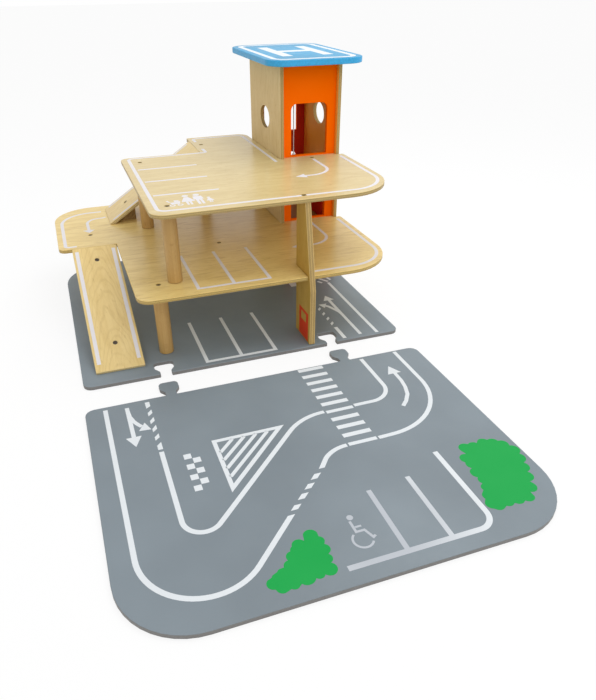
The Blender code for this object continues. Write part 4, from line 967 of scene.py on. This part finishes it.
def screw_axis(node):
    """Return a CAD screw's head centre and the direction its head faces."""
    points = [vertex.co.copy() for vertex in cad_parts[node].data.vertices]
    middle = sum(points, Vector()) / len(points)
    tip = max(points, key=lambda p: (p - middle).length)
    reach = max((p - tip).length for p in points)
    rim_tolerance = 0.00002
    rim = [p for p in points if (p - tip).length > reach - rim_tolerance]
    centre = sum(rim, Vector()) / len(rim)
    return centre, (centre - tip).normalized()


def dress_screws():
    """Put a screw with a cross recess in each CAD screw's place."""
    material = steel("screw_steel", DARK_STEEL)
    meshes = {}
    for number, node in enumerate(sorted(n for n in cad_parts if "screw" in n)):
        centre, facing = screw_axis(node)
        points = [vertex.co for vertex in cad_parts[node].data.vertices]
        length = round(max((p - centre).length for p in points), 4)
        if length not in meshes:
            meshes[length] = screw_mesh(f"screw_{round(length / MM)}mm", length)
            meshes[length].materials.append(material)
        screw = add_object(node + "_dressed", meshes[length])
        turn = facing.to_track_quat("Z", "Y").to_matrix().to_4x4()
        spin = Matrix.Rotation(SCREW_TURN * number, 4, "Z")
        proud = facing * (INK_HEIGHT + INK_STEP)
        screw.matrix_world = Matrix.Translation(centre + proud) @ turn @ spin
        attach(screw, "garage")
        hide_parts(node)


def lift_cord():
    """Lift cord as a fine tube that stretches between the cage and the winding shaft."""
    low, high = (Vector(corner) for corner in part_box("lift_cord"))
    radius = (high.x - low.x) / 2
    centre = (low + high) / 2
    steps, sides = 60, 16
    heights = [low.z + (high.z - low.z) * step / steps for step in range(steps + 1)]
    shape = bmesh.new()
    rings = [add_ring(shape, centre, radius, z, sides) for z in heights]
    for lower, upper in zip(rings, rings[1:]):
        bridge(shape, lower, upper)
    shape.faces.new(list(reversed(rings[0])))
    shape.faces.new(rings[-1])
    mesh = as_mesh(shape, "lift_cord_braided")
    mesh.shade_smooth()
    mesh.set_sharp_from_angle(angle=math.radians(40))
    mesh.materials.append(braid("cord_braid", WHITE_CORD, UP))
    cord = add_object("lift_cord_braided", mesh)
    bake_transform(cord)
    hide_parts("lift_cord")


def dress_level(node, grain, colour, **looks):
    """Give a level piece of ply its material."""
    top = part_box(node)[1][2]
    dress(node, plywood(node + "_ply", UP, top, grain, colour, **looks))


def dress_level_ply():
    """Varnished ply on the decks, the lift's floor and crossbar, and the lower deck's batten."""
    dress_level("lower_deck", RIGHT, BIRCH_LOWER_SHADED, coat=0.30, seed=0.37, veined=0.40)
    dress_level("upper_deck", RIGHT, BIRCH, coat=0.30, seed=1.37, veined=0.16)
    dress_level("lift_floor", BACK, LIFT_FLOOR_SHADE_WOOD, roughness=0.55, specular=0.08, coat=0.0, seed=8.2)
    dress_level("lift_crossbar", RIGHT, BIRCH_WALL, thickness=0.009, seed=9.3)
    dress_level("lower_deck_batten", RIGHT, BIRCH_WALL, seed=7.4)


def dress_ramps():
    """Varnished birch ply with arched figure on the ramps."""
    for number, ramp in enumerate(RAMPS):
        node = ramp[0]
        placement = ramp_place(*ramp)[0]
        along = placement.col[0].to_3d()
        normal = placement.col[2].to_3d()
        level = placement.translation.dot(normal)
        dress(node, plywood(
            node + "_ply", normal, level, along, BIRCH_RAMP,
            seed=2.4 + number, arched_at=placement.translation, inner=RAMP_EDGE,
        ))


def dress_walls():
    """Thinly varnished ply on the tower's walls and the pylon."""
    walls = (("tower_left_wall", BIRCH_WALL), ("tower_right_wall", BIRCH_WALL), ("pylon", PYLON_WOOD))
    for number, (node, colour) in enumerate(walls):
        low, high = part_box(node)
        # the tower's walls get painted shade on their faces towards the lift shaft
        dress(node, plywood(
            node + "_ply", RIGHT, high[0], UP, colour,
            roughness=0.5, specular=0.12, coat=0.0,
            thickness=high[0] - low[0], seed=5.1 + number, inner=BIRCH_WALL,
            shade_side=SHAFT_SHADE_SIDES.get(node),
        ))


def dress_solid_wood():
    """Beech on the posts, cleats, blocks and turned pieces."""
    posts = ("lower_post_front", "lower_post_left", "upper_post_front", "upper_post_left", "upper_post_rear")
    for number, node in enumerate(posts):
        dress(node, solid_wood(node + "_wood", UP, BEECH, seed=0.61 * number + 0.2))
    for node in ("lower_ramp_cleat", "lower_ramp_foot_block", "lower_deck_cleat", "upper_deck_cleat"):
        dress(node, solid_wood(node + "_wood", RIGHT, BEECH, roughness=0.55, seed=0.9))
    for node in ("upper_ramp_cleat", "upper_ramp_foot_block", "roof_cleat_left", "roof_cleat_right"):
        dress(node, solid_wood(node + "_wood", BACK, BEECH, roughness=0.55, seed=1.7))
    dress("shaft_bearing_block", solid_wood("bearing_block_wood", RIGHT, BEECH, roughness=0.55, seed=2.1))
    for node in ("winding_shaft", "crank_knob"):
        dress(node, solid_wood(node + "_wood", BACK, BEECH, seed=3.3))


def panel_paint(name, shade_side=None):
    """Orange paint, with painted shade in deep crimson on the side that faces the lift shaft."""
    return paint(name, ORANGE_PAINT, roughness=0.45, specular=0.0, grain=UP, seed=1.0, shade_side=shade_side)


def dress_painted():
    """Paint on the boards, panels, cage sides and roof."""
    grey = paint("grey_board_paint", GREY_PAINT, roughness=0.42, edge=GREY_EDGE)
    dress("rear_board", grey)
    dress("front_board", grey)
    orange = panel_paint("orange_panel_paint")
    dress("tower_front_panel", orange)
    dress("crank_wheel", orange)
    for node in ("tower_back_panel", "lift_left_side", "lift_right_side"):
        dress(node, panel_paint(node + "_paint", SHAFT_SHADE_SIDES[node]))
    blue = paint("blue_roof_paint", BLUE_PAINT, roughness=0.36, specular=0.22, seed=2.0, edge=BLUE_EDGE)
    dress("roof", blue)


def dress_cord_pieces():
    """Lacquer on the bead and braid on the winding."""
    dress("cord_bead", gloss("bead_lacquer", WHITE_CORD, 0.25))
    dress("cord_winding", braid("winding_braid", WHITE_CORD, (0.6, 0.2, 0.77)))


def is_seen(nodes, links):
    """Return 1 for camera, glossy and transmission rays, and 0 for all other light."""
    path = nodes.new("ShaderNodeLightPath")
    total = path.outputs["Is Camera Ray"]
    for name in ("Is Glossy Ray", "Is Transmission Ray"):
        add = nodes.new("ShaderNodeMath")
        add.operation = "ADD"
        add.use_clamp = True
        links.new(total, add.inputs[0])
        links.new(path.outputs[name], add.inputs[1])
        total = add.outputs[0]
    return total


def make_floor():
    """White studio floor, which shows the object's shadow faintly."""
    reach, drop = 12.0, 0.0002
    corners = [(x, y, -drop) for x, y in ((-reach, -reach), (reach, -reach), (reach, reach), (-reach, reach))]
    mesh = bpy.data.meshes.new("studio_floor")
    mesh.from_pydata(corners, [], [(0, 1, 2, 3)])
    graph = Graph("studio_floor_white")
    graph.finish(FLOOR_WHITE, 0.9, specular=0.0)
    glow = graph.nodes.new("ShaderNodeEmission").outputs[0]
    share = graph.math("MULTIPLY", is_seen(graph.nodes, graph.links), FLOOR_GLOW)
    mix = graph.node("ShaderNodeMixShader", {0: share, 1: graph.shader.outputs[0], 2: glow})
    graph.set(graph.nodes["Material Output"].inputs["Surface"], mix.outputs[0])
    mesh.materials.append(graph.material)
    floor = add_object("studio_floor", mesh)


def make_surroundings():
    """White surroundings that look brighter than they light."""
    world = bpy.data.worlds.new("studio")
    bpy.context.scene.world = world
    world.use_nodes = True
    nodes = world.node_tree.nodes
    links = world.node_tree.links
    ambient = nodes["Background"]
    seen = nodes.new("ShaderNodeBackground")
    for node, strength in ((ambient, AMBIENT), (seen, 1.0)):
        node.inputs["Color"].default_value = (1.0, 1.0, 1.0, 1.0)
        node.inputs["Strength"].default_value = strength
    mix = nodes.new("ShaderNodeMixShader")
    links.new(is_seen(nodes, links), mix.inputs[0])
    links.new(ambient.outputs[0], mix.inputs[1])
    links.new(seen.outputs[0], mix.inputs[2])
    links.new(mix.outputs[0], nodes["World Output"].inputs["Surface"])


def make_lights():
    """A broad light from the front and above, and a softbox at the right."""
    sun = bpy.data.lights.new("overhead_light", "SUN")
    sun.energy = SUN_STRENGTH
    sun.angle = SUN_ANGLE
    lamp = add_object("overhead_light", sun)
    lamp.rotation_euler = SUN_TURN
    softbox = bpy.data.lights.new("right_softbox", "AREA")
    softbox.size = SOFTBOX_SIZE
    softbox.energy = SOFTBOX_POWER
    lamp = add_object("right_softbox", softbox)
    lamp.location = SOFTBOX_PLACE
    aim = Vector(SOFTBOX_AIM) - Vector(SOFTBOX_PLACE)
    lamp.rotation_euler = aim.to_track_quat("-Z", "Y").to_euler()


def make_camera():
    """Camera at the photograph's place and angle."""
    lens = bpy.data.cameras.new("camera")
    lens.lens = CAMERA_LENS
    lens.sensor_width = 36.0
    lens.shift_x, lens.shift_y = CAMERA_SHIFT
    lens.clip_end = 50.0
    camera = add_object("camera", lens)
    camera.location = Vector(CAMERA_PLACE) + Vector((ORIGIN_X, ORIGIN_Y, 0))
    camera.rotation_euler = [math.radians(angle) for angle in CAMERA_TURN]
    bpy.context.scene.camera = camera


make_camera()
make_floor()
make_surroundings()
make_lights()
bpy.context.scene.view_settings.view_transform = "Standard"

WHITE_PRINT = ink("white_road_ink", WHITE_INK)
# bay lines with painted glare near the front right
BAY_PRINT = ink("white_bay_ink", WHITE_INK, glare_centre=(0.015, -0.375, 0.0), glare_reach=0.13)
DECK_PRINT = ink("white_deck_ink", DECK_INK, seed=3.0)
GREEN_PRINT = ink("green_bush_ink", GREEN_INK, seed=1.0)
RED_PRINT = ink("red_sign_ink", RED_INK, seed=2.0)

dress_level_ply()
dress_ramps()
dress_walls()
dress_solid_wood()
dress_painted()
dress_cord_pieces()
dress_screws()
lift_cord()
front_board_road()
front_board_dashes()
front_board_arrows()
front_board_island()
front_board_bays()
rank_checks()
wheelchair_sign()
bushes()
rear_board_lines()
rear_board_arrows()
lower_deck_lines()
upper_deck_lines()
family_sign()
ramp_lines()
pump_sign()
roof_marks()
